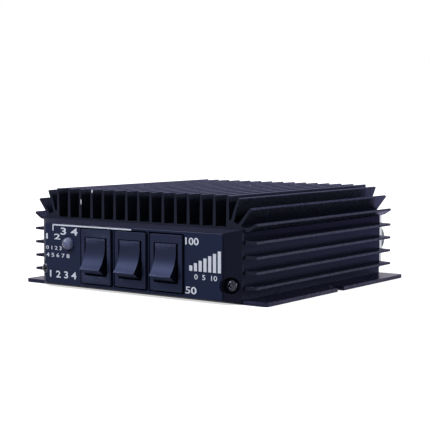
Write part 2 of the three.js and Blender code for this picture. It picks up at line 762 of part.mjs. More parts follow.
// The lamp: a round-nosed lens with a flange behind the cap's wall, its two leads, and its clip.
function lamp() {
  const unit = new THREE.Group();
  unit.position.set(lampX, capFaceY + capWall, lampHeight);
  const shoulder = -capWall - labelThickness;
  const dome = Array.from({ length: archSteps }, (_, i) => {
    const angle = (i / archSteps) * (Math.PI / 2);
    return [lampRadius * Math.sin(angle), shoulder - lampRadius * Math.cos(angle)];
  });
  const lens = turned([
    ...dome,
    [lampRadius, shoulder],
    [lampRadius, 0],
    [lampRadius + lampFlangeLip, 0],
    [lampRadius + lampFlangeLip, lampFlangeThickness],
    [lampRadius, lampFlangeThickness],
    [lampRadius, lampFlangeThickness + lampBody],
    [0, lampFlangeThickness + lampBody],
  ]);
  const half = lampLead / 2;
  const leads = [-1, 1].map((side) => {
    const x = side * lampLeadOffset;
    const from = lampFlangeThickness + lampBody / 2;
    return block([x - half, from, -half], [x + half, from + lampBody / 2 + lampLeadLength, half]);
  });
  const clipFront = lampFlangeThickness + seatGap;
  const clip = ring([
    [lampRadius + slipGap, clipFront],
    [lampRadius + lampFlangeLip + clipWall, clipFront],
    [lampRadius + lampFlangeLip + clipWall, clipFront + clipLength],
    [lampRadius + slipGap, clipFront + clipLength],
  ]);
  unit.add(
    piece("lamp_lens", join([lens, ...leads]), materials.lens),
    piece("lamp_clip", clip, materials.moulding),
  );
  return unit;
}

// A coaxial socket on the rear panel: its shell, insulator, centre contact and nut.
function coaxialSocket(name, side) {
  const unit = new THREE.Group();
  unit.position.set(side * socketX, panelRear, socketHeight);
  const shellBore = shellRadius - shellWall;
  const shellFlange = shellRadius + shellFlangeLip;
  const contactBore = contactRadius - contactWall;
  const flangeRear = -rearThickness;
  const flangeFront = flangeRear - shellFlangeThickness;
  const flat = footInside - seatGap - socketX;
  const flats = [-1, 1].map((way) => block(
    [way > 0 ? flat : -shellFlange - overrun, flangeFront - overrun, -shellFlange],
    [way > 0 ? shellFlange + overrun : -flat, flangeRear, shellFlange],
  ));
  const shell = cut(ring([
    [shellBore, flangeFront],
    [shellFlange, flangeFront],
    [shellFlange, flangeRear],
    [shellRadius, flangeRear],
    [shellRadius, shellReach],
    [shellBore, shellReach],
  ], sides.large), flats);
  const insulatorRear = shellReach - mouthDepth;
  const insulatorFront = flangeFront - insulatorTail;
  const insulator = ring([
    [contactRadius + slipGap, insulatorFront],
    [shellBore - slipGap, insulatorFront],
    [shellBore - slipGap, insulatorRear],
    [contactRadius + slipGap, insulatorRear],
  ]);
  const contact = turned([
    [0, insulatorFront - contactTail],
    [contactRadius, insulatorFront - contactTail],
    [contactRadius, insulatorRear],
    [contactBore, insulatorRear],
    [contactBore, insulatorRear - contactBoreDepth],
    [0, insulatorRear - contactBoreDepth],
  ]);
  const nutRadius = (shellRadius + nutWall) / Math.cos(Math.PI / 6);
  const nut = rod("y", nutRadius, 0, nutThickness, [0, 0], 6).subtract(
    rod("y", shellRadius + slipGap, -overrun, nutThickness + overrun, [0, 0], sides.large));
  const turnedNut = piece(`${name}_nut`, nut, materials.nickel);
  turnedNut.rotation.y = Math.PI / 6;
  unit.add(
    piece(`${name}_shell`, shell, materials.nickel),
    piece(`${name}_insulator`, insulator, materials.white),
    piece(`${name}_contact`, contact, materials.brass),
    turnedNut,
  );
  return unit;
}

// The rubber grommet that the power lead runs through.
function grommet() {
  const neck = grommetBore + grommetWall;
  const collar = neck + grommetCollar;
  const front = -rearThickness - seatGap;
  const mesh = piece("power_lead_grommet", ring([
    [grommetBore, front - grommetLip],
    [collar, front - grommetLip],
    [collar, front],
    [neck, front],
    [neck, seatGap],
    [collar, seatGap],
    [collar, seatGap + grommetLip],
    [grommetBore, seatGap + grommetLip],
  ]), materials.rubber);
  mesh.position.set(0, panelRear, socketHeight);
  return mesh;
}

// A place on the circuit board, as shares of its width from the middle and of its length from the front.
function boardSpot({ across, along }) {
  return [across * 2 * boardHalf, THREE.MathUtils.lerp(boardFront, boardRear, along), boardTop];
}

// The place of a relay, beside the output transformer.
const relaySpot = (side) => [
  side * relaySpotShare * 2 * boardHalf,
  boardRear - relayRearGap - relayLength / 2,
  boardTop,
];

// A block that stands on the plane Z = 0, centred on the origin.
const standing = ({ width, length, height }) =>
  block([-width / 2, -length / 2, 0], [width / 2, length / 2, height]);

// A ferrite core with two bores along Y.
function twinCore(core, bore) {
  const bores = [-1, 1].map((side) =>
    rod("y", bore, -core.length / 2 - overrun, core.length / 2 + overrun,
      [(side * core.width) / 4, core.height / 2]));
  return cut(standing(core), bores);
}

// The output transformer's winding: two tubes through the core, bridged at the rear.
function outputWinding() {
  const radius = outputBore - slipGap;
  const x = outputCore.width / 4;
  const z = outputCore.height / 2;
  const tubes = [-1, 1].map((side) => rod("y", radius, -windingEnd, windingEnd, [side * x, z]));
  const bridge = block([-x - radius, windingEnd - outputStrap, z - radius],
    [x + radius, windingEnd, z + radius]);
  return join([...tubes, bridge]);
}

// A power transistor, tab up against its pad, with its leads bent down to the board.
function transistorSolid() {
  const top = ceiling - insulatorPad;
  const body = block([-packageWidth / 2, -packageLength / 2, top - packageThickness],
    [packageWidth / 2, packageLength / 2, top]);
  const tab = block([-packageWidth / 2, -packageLength / 2 - tabLength, top - tabThickness],
    [packageWidth / 2, -packageLength / 2 + overrun, top]);
  const hole = rod("z", tabScrew.shank + slipGap, top - tabThickness - overrun, top + overrun,
    [0, tabHoleY - transistorY], sides.screw);
  const leadZ = top - packageThickness / 2;
  const leads = [-1, 0, 1].flatMap((place) => {
    const [x0, x1] = [place * leadSpacing - leadWidth / 2, place * leadSpacing + leadWidth / 2];
    const bend = packageLength / 2 + leadReach;
    return [
      block([x0, packageLength / 2 - overrun, leadZ - leadThickness], [x1, bend, leadZ]),
      block([x0, bend - leadThickness, boardTop], [x1, bend, leadZ]),
    ];
  });
  return cut(join([body, tab, ...leads]), [hole]);
}

// A power transistor with its insulating pad and its screw, all hung from the deck.
function powerStage(name, side) {
  const unit = new THREE.Group();
  unit.position.set((side * transistorSpacing) / 2, transistorY, 0);
  const padFront = -packageLength / 2 - tabLength - padMargin;
  const holeY = tabHoleY - transistorY;
  const pad = block([-packageWidth / 2 - padMargin, padFront, ceiling - insulatorPad],
    [packageWidth / 2 + padMargin, packageLength / 2 + padMargin, ceiling])
    .subtract(rod("z", tabScrew.shank + slipGap, ceiling - insulatorPad - overrun, ceiling + overrun,
      [0, holeY], sides.screw));
  const screw = piece(`${name}_transistor_screw`, screwSolid(tabScrew), materials.steel);
  screw.position.set(0, holeY, ceiling - insulatorPad - tabThickness);
  screw.rotation.x = Math.PI / 2;
  unit.add(
    piece(`${name}_power_transistor`, transistorSolid(), materials.epoxy),
    piece(`${name}_transistor_pad`, pad, materials.silicone),
    screw,
  );
  return unit;
}

// The circuit board with its relays, transformers, choke and capacitor.
function electronics() {
  const unit = new THREE.Group();
  const board = block([-boardHalf, boardFront, ledgeTop], [boardHalf, boardRear, boardTop]);
  const on = (mesh, spot) => {
    mesh.position.set(...spot);
    return mesh;
  };
  const choke = piece("supply_choke", ring([
    [chokeBore, -chokeHeight],
    [chokeRadius, -chokeHeight],
    [chokeRadius, 0],
    [chokeBore, 0],
  ]), materials.ferrite);
  choke.rotation.x = -Math.PI / 2;
  const can = turned([
    [0, -canLength / 2],
    [canRadius, -canLength / 2],
    [canRadius, canLength / 2],
    [0, canLength / 2],
  ]).translate([0, 0, canRadius]);
  const preamp = piece("preamp_transistor", turned([
    [0, -preampHeight],
    [preampRadius, -preampHeight],
    [preampRadius, -preampRim],
    [preampRadius + preampRim, -preampRim],
    [preampRadius + preampRim, 0],
    [0, 0],
  ]), materials.nickel);
  preamp.rotation.x = -Math.PI / 2;
  unit.add(
    piece("circuit_board", board, materials.laminate),
    on(piece("antenna_relay", standing(relay), materials.relayCase), relaySpot(1)),
    on(piece("radio_relay", standing(relay), materials.relayCase), relaySpot(-1)),
    on(piece("output_transformer_core", twinCore(outputCore, outputBore), materials.ferrite),
      [0, outputCoreY, boardTop]),
    on(piece("output_transformer_winding", outputWinding(), materials.copper),
      [0, outputCoreY, boardTop]),
    on(piece("input_transformer_core", twinCore(inputCore, inputBore), materials.ferrite),
      boardSpot(inputCoreSpotShare)),
    on(choke, boardSpot(chokeSpotShare)),
    on(preamp, boardSpot(preampSpotShare)),
    on(piece("supply_capacitor", can, materials.canSleeve), boardSpot(canSpotShare)),
  );
  return unit;
}

// A wire along a curve.
function wire(name, path, steps) {
  const section = new THREE.Shape().absarc(0, 0, wireRadius, 0, Math.PI * 2);
  const geometry = new THREE.ExtrudeGeometry(section, {
    steps,
    curveSegments: sides.wire / 2,
    extrudePath: path,
  });
  return piece(name, solidOf(geometry), materials.copper);
}

// A wire that leaves a place along Y and bends down, or up, to land on the board.
function landingWire(name, [x, from, z], to) {
  return wire(name, new THREE.QuadraticBezierCurve3(
    new THREE.Vector3(x, from, z),
    new THREE.Vector3(x, to, z),
    new THREE.Vector3(x, to, boardTop + seatGap),
  ), wireSteps);
}

// A wire from a socket's centre contact down to the board.
function socketWire(name, side) {
  const behindPanel = rearThickness + shellFlangeThickness + insulatorTail + contactTail + seatGap;
  return landingWire(name, [side * socketX, panelRear - behindPanel, socketHeight], boardRear - wireLanding);
}

// The wires of the switches: one from each load terminal, and one bus along the common terminals.
function switchWires() {
  const behindBlades = capFaceY + barrelDepth + bladeReach + seatGap;
  const landingY = boardFront + wireLanding;
  const loads = switchSpots.map(({ name, x }) => wire(`${name}_wire`, new THREE.CubicBezierCurve3(
    new THREE.Vector3(x, behindBlades, switchHeight + loadTerminalZ),
    new THREE.Vector3(x, behindBlades + wireLanding, switchHeight + loadTerminalZ),
    new THREE.Vector3(x, landingY, boardTop + wireLift),
    new THREE.Vector3(x, landingY, boardTop + seatGap),
  ), wireSteps));
  const busY = behindBlades + wireRadius;
  const first = switchSpots[0].x;
  const last = switchSpots[switchSpots.length - 1].x;
  const bus = wire("switch_bus_wire", new THREE.CatmullRomCurve3([
    new THREE.Vector3(first - busOverhang, busY, switchHeight),
    ...switchSpots.map(({ x }) => new THREE.Vector3(x, busY, switchHeight)),
    new THREE.Vector3(last + busOverhang, busY, switchHeight),
    new THREE.Vector3(last + busStep, (busY + landingY) / 2, switchHeight + wireLanding),
    new THREE.Vector3(last + busStep, landingY, boardTop + wireLift / 2),
    new THREE.Vector3(last + busStep, landingY, boardTop + seatGap),
  ]), busSteps);
  return [...loads, bus];
}

// A front or rear screw through the cap or panel into its port.
function panelScrewPiece(name, side, seat, turn) {
  const mesh = piece(name, screwSolid(panelScrew), turn ? materials.steel : materials.blackSteel);
  mesh.position.set(side * portX, seat, portZ);
  if (turn) mesh.rotation.z = Math.PI;
  return mesh;
}

// The whole amplifier
const amplifier = new THREE.Group();
amplifier.add(
  piece("heatsink", heatsinkSolid(), materials.anodised),
  piece("base_plate", basePlateSolid(), materials.coated),
  piece("front_cap", frontCapSolid(), materials.moulding),
  piece("front_label", labelSolid(), materials.label),
  piece("rear_panel", rearPanelSolid(), materials.aluminium),
  panelScrewPiece("front_screw_left", -1, capBackY, false),
  panelScrewPiece("front_screw_right", 1, capBackY, false),
  panelScrewPiece("rear_screw_left", -1, panelRear, true),
  panelScrewPiece("rear_screw_right", 1, panelRear, true),
  ...plateScrewSpots().map(({ name, x, y }) => {
    const mesh = piece(`base_screw_${name}`, screwSolid(plateScrew, true), materials.blackSteel);
    mesh.position.set(x, y, plateScrew.rise);
    mesh.rotation.x = Math.PI / 2;
    return mesh;
  }),
  ...switchSpots.map(rockerSwitch),
  lamp(),
  coaxialSocket("antenna_socket", 1),
  coaxialSocket("radio_socket", -1),
  grommet(),
  electronics(),
  powerStage("left", -1),
  powerStage("right", 1),
  socketWire("antenna_wire", 1),
  socketWire("radio_wire", -1),
  ...switchWires(),
);

export default amplifier;
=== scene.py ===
import json
import math

import bmesh
import bpy
from mathutils import Matrix, Vector

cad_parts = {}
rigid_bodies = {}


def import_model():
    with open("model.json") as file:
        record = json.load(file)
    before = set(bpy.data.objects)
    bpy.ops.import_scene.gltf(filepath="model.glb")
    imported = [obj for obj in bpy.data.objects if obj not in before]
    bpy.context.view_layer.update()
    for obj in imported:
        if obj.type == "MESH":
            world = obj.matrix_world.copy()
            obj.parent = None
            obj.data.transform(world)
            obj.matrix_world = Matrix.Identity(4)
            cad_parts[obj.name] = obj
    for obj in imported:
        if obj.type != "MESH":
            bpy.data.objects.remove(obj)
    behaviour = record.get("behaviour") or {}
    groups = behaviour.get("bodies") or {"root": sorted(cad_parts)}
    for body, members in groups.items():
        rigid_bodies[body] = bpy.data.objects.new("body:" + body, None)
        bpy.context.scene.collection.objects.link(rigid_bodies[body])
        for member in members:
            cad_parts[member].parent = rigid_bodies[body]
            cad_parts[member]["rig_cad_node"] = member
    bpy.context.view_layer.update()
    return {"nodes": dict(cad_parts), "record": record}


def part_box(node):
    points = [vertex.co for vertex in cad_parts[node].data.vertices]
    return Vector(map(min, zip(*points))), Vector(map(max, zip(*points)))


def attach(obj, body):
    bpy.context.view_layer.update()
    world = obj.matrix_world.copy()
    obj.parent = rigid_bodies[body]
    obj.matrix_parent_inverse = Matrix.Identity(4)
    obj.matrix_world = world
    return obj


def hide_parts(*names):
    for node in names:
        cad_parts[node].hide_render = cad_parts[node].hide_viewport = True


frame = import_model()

# Units: Blender works in metres, and the sizes below are in millimetres
MM = 0.001
DOUBLES = 0.002
REAR = Vector((0, 1, 0))

cad = frame["nodes"]
body_of_node = {
    node: body for body, members in frame["record"]["behaviour"]["bodies"].items() for node in members
}
slot_of_node = {part["node"]: part["material_slot"] for part in frame["record"]["subparts"]}


# Modelling helpers

def stop_editing():
    """Object mode, with nothing selected."""
    if bpy.context.mode != "OBJECT":
        bpy.ops.object.mode_set(mode="OBJECT")
    bpy.ops.object.select_all(action="DESELECT")


def take(piece):
    """Selects one piece alone."""
    stop_editing()
    piece.select_set(True)
    bpy.context.view_layer.objects.active = piece
    return piece


def edit(piece, kind="FACE"):
    """Opens a piece for editing, with everything in it selected."""
    take(piece)
    bpy.ops.object.mode_set(mode="EDIT")
    bpy.ops.mesh.select_mode(type=kind)
    bpy.ops.mesh.select_all(action="SELECT")


def choose(piece, kind, test):
    """Selects the vertices, edges or faces of the open piece that pass a test. Returns how many."""
    bpy.ops.mesh.select_mode(type=kind)
    bpy.ops.mesh.select_all(action="DESELECT")
    mesh = bmesh.from_edit_mesh(piece.data)
    elements = {"VERT": mesh.verts, "EDGE": mesh.edges, "FACE": mesh.faces}[kind]
    found = [element for element in elements if test(element)]
    for element in found:
        element.select_set(True)
    mesh.select_flush_mode()
    bmesh.update_edit_mesh(piece.data)
    return len(found)


def is_corner(degrees):
    """A test for edges whose two faces turn by more than an angle."""
    limit = math.radians(degrees)

    def test(edge):
        return len(edge.link_faces) == 2 and edge.calc_face_angle(0) > limit

    return test


def close_up(piece):
    """Merges doubles and turns the faces outwards."""
    edit(piece, "VERT")
    bpy.ops.mesh.remove_doubles(threshold=DOUBLES * MM)
    bpy.ops.mesh.normals_make_consistent(inside=False)


def copy_of(node, name=None):
    """A copy of a CAD node to work on, with its triangles joined into flat faces."""
    take(cad[node])
    bpy.ops.object.duplicate()
    piece = bpy.context.object
    bpy.ops.object.parent_clear(type="CLEAR_KEEP_TRANSFORM")
    del piece["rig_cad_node"]
    piece.name = piece.data.name = name or f"{node}_shown"
    close_up(piece)
    bpy.ops.mesh.dissolve_limited(angle_limit=math.radians(0.5))
    return piece


def round_edges(piece, width, segments=3, corner=28, where=lambda edge: True):
    """Rounds the sharp edges of a piece by a width in millimetres."""
    edit(piece)
    sharp = is_corner(corner)
    if choose(piece, "EDGE", lambda edge: sharp(edge) and where(edge)):
        bpy.ops.mesh.bevel(offset=width * MM, segments=segments, affect="EDGES", clamp_overlap=True)
    stop_editing()


def smooth(piece, degrees=35):
    """Smooth shading that keeps flat faces flat."""
    take(piece)
    bpy.ops.object.shade_smooth_by_angle(angle=math.radians(degrees))
    weights = piece.modifiers.new("weights", "WEIGHTED_NORMAL")
    weights.keep_sharp = True
    bpy.ops.object.modifier_apply(modifier=weights.name)


def mark_faces(piece, name, test):
    """Marks the faces of a finished piece that pass a test, for its material to read."""
    marks = piece.data.attributes.new(name, "FLOAT", "FACE")
    marks.data.foreach_set("value", [float(test(face)) for face in piece.data.polygons])


def settle(piece):
    """Puts a piece's place into its mesh, so that its object sits at the origin."""
    take(piece)
    bpy.ops.object.transform_apply(location=True, rotation=True, scale=True)


def outline(name, corners):
    """A new object, open for editing, with an outline drawn from corner to corner in metres."""
    stop_editing()
    bpy.ops.mesh.primitive_plane_add(size=MM)
    piece = bpy.context.object
    piece.name = piece.data.name = name
    bpy.ops.object.mode_set(mode="EDIT")
    bpy.ops.mesh.select_mode(type="VERT")
    bpy.ops.mesh.select_all(action="SELECT")
    bpy.ops.mesh.merge(type="CENTER")
    bpy.ops.transform.translate(value=Vector(corners[0]))
    for here, there in zip(corners, corners[1:]):
        step = Vector(there) - Vector(here)
        bpy.ops.mesh.extrude_region_move(TRANSFORM_OT_translate={"value": step})
    return piece


def turned(name, profile, centre, steps=48):
    """A piece turned round a line along Y through a centre, from places of radius and Y in millimetres."""
    centre = Vector(centre) * MM
    places = [centre + Vector((radius, y, 0)) * MM for radius, y in profile]
    piece = outline(name, places)
    bpy.ops.mesh.select_all(action="SELECT")
    bpy.ops.mesh.spin(steps=steps, angle=math.tau, center=centre, axis=REAR)
    close_up(piece)
    stop_editing()
    return piece


def block(name, low, high):
    """A box between two corners in millimetres."""
    stop_editing()
    low, high = Vector(low) * MM, Vector(high) * MM
    bpy.ops.mesh.primitive_cube_add(size=1, location=(low + high) / 2)
    piece = bpy.context.object
    piece.name = piece.data.name = name
    piece.scale = high - low
    settle(piece)
    return piece


def rod(name, radius, start, end, sides=24):
    """A round rod between two points in millimetres."""
    stop_editing()
    start, end = Vector(start) * MM, Vector(end) * MM
    along = end - start
    bpy.ops.mesh.primitive_cylinder_add(
        vertices=sides, radius=radius * MM, depth=along.length, location=(start + end) / 2,
        rotation=along.to_track_quat("Z", "Y").to_euler())
    piece = bpy.context.object
    piece.name = piece.data.name = name
    settle(piece)
    return piece


def joined(pieces):
    """Several pieces made one object."""
    take(pieces[0])
    for piece in pieces[1:]:
        piece.select_set(True)
    bpy.ops.object.join()
    return pieces[0]


def combine(piece, tool, operation="DIFFERENCE"):
    """Cuts a piece with a tool, joins them or keeps what they share, and removes the tool."""
    take(piece)
    boolean = piece.modifiers.new(operation.lower(), "BOOLEAN")
    boolean.operation = operation
    boolean.solver = "EXACT"
    boolean.object = tool
    bpy.ops.object.modifier_apply(modifier=boolean.name)
    take(tool)
    bpy.ops.object.delete()
    return piece


def threaded(name, root, crest, pitch, start, end, steps):
    """A threaded rod along Y, with its radius at root and crest, its pitch and its ends in millimetres."""
    pitch_shares = ((root, 0), (crest, 0.34), (crest, 0.46), (root, 0.8), (root, 1))
    places = [Vector((radius, start + share * pitch, 0)) * MM for radius, share in pitch_shares]
    piece = outline(name, places)
    take(piece)
    turns = piece.modifiers.new("turns", "SCREW")
    turns.axis = "Y"
    turns.screw_offset = pitch * MM
    turns.iterations = round((end - start) / pitch)
    turns.steps = turns.render_steps = steps
    bpy.ops.object.modifier_apply(modifier=turns.name)
    close_up(piece)
    bpy.ops.mesh.select_mode(type="EDGE")
    bpy.ops.mesh.select_all(action="SELECT")
    bpy.ops.mesh.fill_holes(sides=0)
    close_up(piece)
    stop_editing()
    return piece


def moved_copy(piece, name, matrix):
    """A copy of a piece with its own mesh, moved by a matrix."""
    take(piece)
    bpy.ops.object.duplicate()
    copy = bpy.context.object
    copy.name = copy.data.name = name
    copy.data.transform(matrix)
    return copy


def fit(piece, node, material, *others):
    """Gives a finished piece its material and puts it in the place of a CAD node, on that node's body."""
    piece.data.materials.clear()
    piece.data.materials.append(material)
    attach(piece, body_of_node[node])
    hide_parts(node, *others)
    return piece


def add_on(piece, node, material):
    """Gives an extra piece its material and lets it ride on a CAD node's body."""
    piece.data.materials.clear()
    piece.data.materials.append(material)
    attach(piece, body_of_node[node])
    return piece


# Materials

def tone(red, green, blue):
    """A colour given as screen values from 0 to 255."""
    def linear(value):
        share = value / 255
        return share / 12.92 if share <= 0.04045 else ((share + 0.055) / 1.055) ** 2.4

    return Vector((linear(red), linear(green), linear(blue)))


def shade_of(color, factor):
    return (*[min(1, channel * factor) for channel in color], 1)


class Finish:
    """A material built up node by node, on the piece's own Object coordinates."""

    def __init__(self, name, color, roughness, metallic=0.0, specular=0.5, tint=None):
        self.material = bpy.data.materials.new(name)
        self.material.use_nodes = True
        self.nodes = self.material.node_tree.nodes
        self.links = self.material.node_tree.links
        self.shader = self.nodes["Principled BSDF"]
        self.color, self.roughness = color, roughness
        self.shader.inputs["Metallic"].default_value = metallic
        self.shader.inputs["Specular IOR Level"].default_value = specular
        if tint:
            self.shader.inputs["Specular Tint"].default_value = (*tint, 1)
        self.place = self.nodes.new("ShaderNodeTexCoord").outputs["Object"]
        self.base = None
        self.bump = None

    def link(self, output, socket):
        self.links.new(output, socket)

    def noise(self, scale, detail=4, rough=0.55):
        """Noise with its scale along each axis, in patches per metre."""
        mapping = self.nodes.new("ShaderNodeMapping")
        mapping.inputs["Scale"].default_value = scale if hasattr(scale, "__len__") else (scale,) * 3
        self.link(self.place, mapping.inputs["Vector"])
        noise = self.nodes.new("ShaderNodeTexNoise")
        noise.inputs["Scale"].default_value = 1
        noise.inputs["Detail"].default_value = detail
        noise.inputs["Roughness"].default_value = rough
        self.link(mapping.outputs["Vector"], noise.inputs["Vector"])
        return noise.outputs["Fac"]

    def spread(self, value, low, high, to_low=0.0, to_high=1.0):
        """Stretches a value's range to another."""
        reach = self.nodes.new("ShaderNodeMapRange")
        for socket, number in zip(("From Min", "From Max", "To Min", "To Max"), (low, high, to_low, to_high)):
            reach.inputs[socket].default_value = number
        self.link(value, reach.inputs["Value"])
        return reach.outputs["Result"]

    def mix(self, factor, first, second, kind="MIX"):
        """Mixes two colours, each a socket or a colour."""
        mix = self.nodes.new("ShaderNodeMix")
        mix.data_type = "RGBA"
        mix.blend_type = kind
        sockets = [s for s in mix.inputs if s.type == "RGBA"]
        for socket, value in zip(sockets, (first, second)):
            if isinstance(value, bpy.types.NodeSocket):
                self.link(value, socket)
            else:
                socket.default_value = value
        if isinstance(factor, bpy.types.NodeSocket):
            self.link(factor, mix.inputs["Factor"])
        else:
            mix.inputs["Factor"].default_value = factor
        return next(s for s in mix.outputs if s.type == "RGBA")

    def vary(self, value, amount):
        """Colour that varies about the base by an amount, following a value from 0 to 1."""
        dark, light = shade_of(self.color, 1 - amount), shade_of(self.color, 1 + amount)
        if self.base is None:
            self.base = self.mix(value, dark, light)
        else:
            even = (1 - amount,) * 3 + (1,)
            high = (1 + amount,) * 3 + (1,)
            self.base = self.mix(1, self.base, self.mix(value, even, high), "MULTIPLY")
        return self

    def patch(self, factor, color):
        """Another colour where a value is high."""
        self.base = self.mix(factor, self.base or shade_of(self.color, 1), (*color, 1))
        return self

    def sheen(self, value, amount):
        """Roughness that varies about its middle by an amount."""
        rough = self.spread(value, 0.25, 0.75, self.roughness - amount, self.roughness + amount)
        self.link(rough, self.shader.inputs["Roughness"])
        return self

    def relief(self, value, height):
        """A bump of a height in millimetres."""
        bump = self.nodes.new("ShaderNodeBump")
        bump.inputs["Distance"].default_value = height * MM
        bump.inputs["Strength"].default_value = 1
        self.link(value, bump.inputs["Height"])
        if self.bump is not None:
            self.link(self.bump, bump.inputs["Normal"])
        self.bump = bump.outputs["Normal"]
        return self

    def edges(self, low, high):
        """How much a place lies on an outer edge, from 0 to 1."""
        pointed = self.nodes.new("ShaderNodeNewGeometry").outputs["Pointiness"]
        return self.spread(pointed, low, high)

    def spot(self, place, reach):
        """1 inside a rounded spot and 0 outside, given by its place and its reach in millimetres."""
        mapping = self.nodes.new("ShaderNodeMapping")
        mapping.inputs["Scale"].default_value = [1 / (size * MM) for size in reach]
        mapping.inputs["Location"].default_value = [-at / size for at, size in zip(place, reach)]
        self.link(self.place, mapping.inputs["Vector"])
        length = self.nodes.new("ShaderNodeVectorMath")
        length.operation = "LENGTH"
        self.link(mapping.outputs["Vector"], length.inputs[0])
        return self.spread(length.outputs["Value"], 1, 0.7)

    def across(self, start, end, axis="Z"):
        """A value that goes from 0 to 1 between two places on an axis, in millimetres."""
        parts = self.nodes.new("ShaderNodeSeparateXYZ")
        self.link(self.place, parts.inputs[0])
        return self.spread(parts.outputs[axis], start * MM, end * MM)

    def marked(self, name):
        """1 on the faces that a piece has marked under a name, 0 elsewhere."""
        mark = self.nodes.new("ShaderNodeAttribute")
        mark.attribute_name = name
        return mark.outputs["Fac"]

    def times(self, first, second):
        product = self.nodes.new("ShaderNodeMath")
        product.operation = "MULTIPLY"
        self.link(first, product.inputs[0])
        self.link(second, product.inputs[1])
        return product.outputs["Value"]

    def edge_wear_and_highlight(self, color, edge, noise, patchy, share=(0, 1)):
        """Another colour on outer edges, where noise lies in a range, up to a share of it: wear, and on the
        extrusion and the switches painted highlights too.
        """
        return self.patch(self.times(self.edges(*edge), self.spread(noise, *patchy, *share)), color)

    def stain(self, color, noise, patchy, share):
        """Patches of another colour, where noise lies in a range, up to a share of it."""
        return self.patch(self.spread(noise, *patchy, 0, share), color)

    def done(self):
        if self.base is not None:
            self.link(self.base, self.shader.inputs["Base Color"])
        else:
            self.shader.inputs["Base Color"].default_value = (*self.color, 1)
        if self.bump is not None:
            self.link(self.bump, self.shader.inputs["Normal"])
        return self.material


VIOLET_GLINT = (0.65, 0.63, 0.87)
PALE_GLINT = (0.9, 0.86, 1.0)
BLUE_GLINT = (0.5, 0.6, 1.0)
# The name of the mark on the faces that take painted shade
SHADED_FLANK = "shaded_flank"

# Places in millimetres where a finish changes, and how far it fades: the fins' cut ends (painted shade) and
# tips (painted sheen), the label's top (painted highlight), the hollow under the corner fins (painted
# shadow), two nicks and the lamp's lit side (painted shade)
CUT_END = -50.7
CUT_FADE = 0.1
SIDE_TIPS = 54.25
TOP_TIPS = 38.75
LABEL_TOP = 25.4
TIP_FADE = 0.15
UNDER_CORNER = ((48.9, 0, 24.8), (3.2, 90, 2.4))
NICKS = (((-23.5, -50.8, 38.3), (0.3, 0.4, 0.8)), ((-29.3, -50.8, 33.9), (0.25, 0.4, 1.2)))
LAMP_SHADE = (1.4, 1.2)


def anodised():
    """Black anodised extrusion, with die lines along Y, a violet cast and chipped edges; painted sheen on the
    fins' tips, painted shade on their cut ends and under the corner fins, and painted highlights with the
    wear on its edges.
    """
    finish = Finish("black_anodised", tone(28, 31, 43), roughness=0.26, metallic=0.45, specular=0,
                    tint=VIOLET_GLINT)
    lines = finish.noise((2600, 6, 2600), detail=3)
    grain = finish.noise(5200, detail=2)
    clouds = finish.noise((60, 22, 60), detail=3)
    finish.vary(clouds, 0.16).vary(lines, 0.14)
    # Painted sheen: the upright fins' top tips are lighter, standing in for the backdrop they reflect
    finish.patch(finish.across(TOP_TIPS - TIP_FADE, TOP_TIPS), tone(80, 79, 108))
    (x, y, z), reach = UNDER_CORNER
    for side in (-1, 1):
        # Painted sheen: the side fins' outer tips are lighter
        finish.patch(finish.across(side * (SIDE_TIPS - TIP_FADE), side * SIDE_TIPS, "X"), tone(43, 45, 53))
        # Painted shadow: a dark spot in the hollow under each corner fin
        finish.patch(finish.spot((side * x, y, z), reach), tone(12, 14, 22))
    # Painted highlights mixed with wear: paler lines along the outer edges
    finish.edge_wear_and_highlight(tone(84, 86, 108), (0.52, 0.58), finish.noise(900), (0.35, 0.6), (0.05, 0.45))
    finish.edge_wear_and_highlight(tone(196, 198, 208), (0.52, 0.58), finish.noise((260, 90, 260), detail=3), (0.73, 0.76))
    # Painted shade: the fins' cut front ends are darker, where the lamps face them
    finish.patch(finish.across(CUT_END + CUT_FADE, CUT_END, "Y"), tone(32, 34, 46))
    for place, reach in NICKS:
        finish.patch(finish.spot(place, reach), tone(206, 208, 216))
    finish.sheen(clouds, 0.06)
    finish.relief(lines, 0.003).relief(grain, 0.002)
    return finish.done()


def coated():
    """Satin black coat on the base plate, with a fine orange-peel surface."""
    finish = Finish("black_coated", tone(34, 35, 54), roughness=0.24, metallic=0.62, specular=0,
                    tint=PALE_GLINT)
    peel = finish.noise(1400, detail=2)
    clouds = finish.noise(45, detail=3)
    finish.vary(clouds, 0.14)
    finish.edge_wear_and_highlight(tone(82, 83, 100), (0.53, 0.6), finish.noise(700), (0.4, 0.65), (0.05, 0.5))
    finish.sheen(clouds, 0.05).relief(peel, 0.004)
    return finish.done()


def plastic(name, color, roughness, specular, grain, height, blotch=0.08, metallic=0.0, tint=None):
    """Moulded plastic with a fine spark-eroded texture."""
    finish = Finish(name, color, roughness, metallic, specular, tint)
    pits = finish.noise(grain, detail=3)
    clouds = finish.noise(70, detail=3)
    finish.vary(clouds, blotch).vary(pits, blotch * 0.6)
    finish.sheen(clouds, 0.05).relief(pits, height)
    return finish


def moulded_cap():
    """Matt black plastic of the front cap."""
    return plastic("cap_plastic", tone(36, 37, 54), roughness=0.55, specular=0.06, grain=3600, height=0.008,
                   tint=BLUE_GLINT).done()


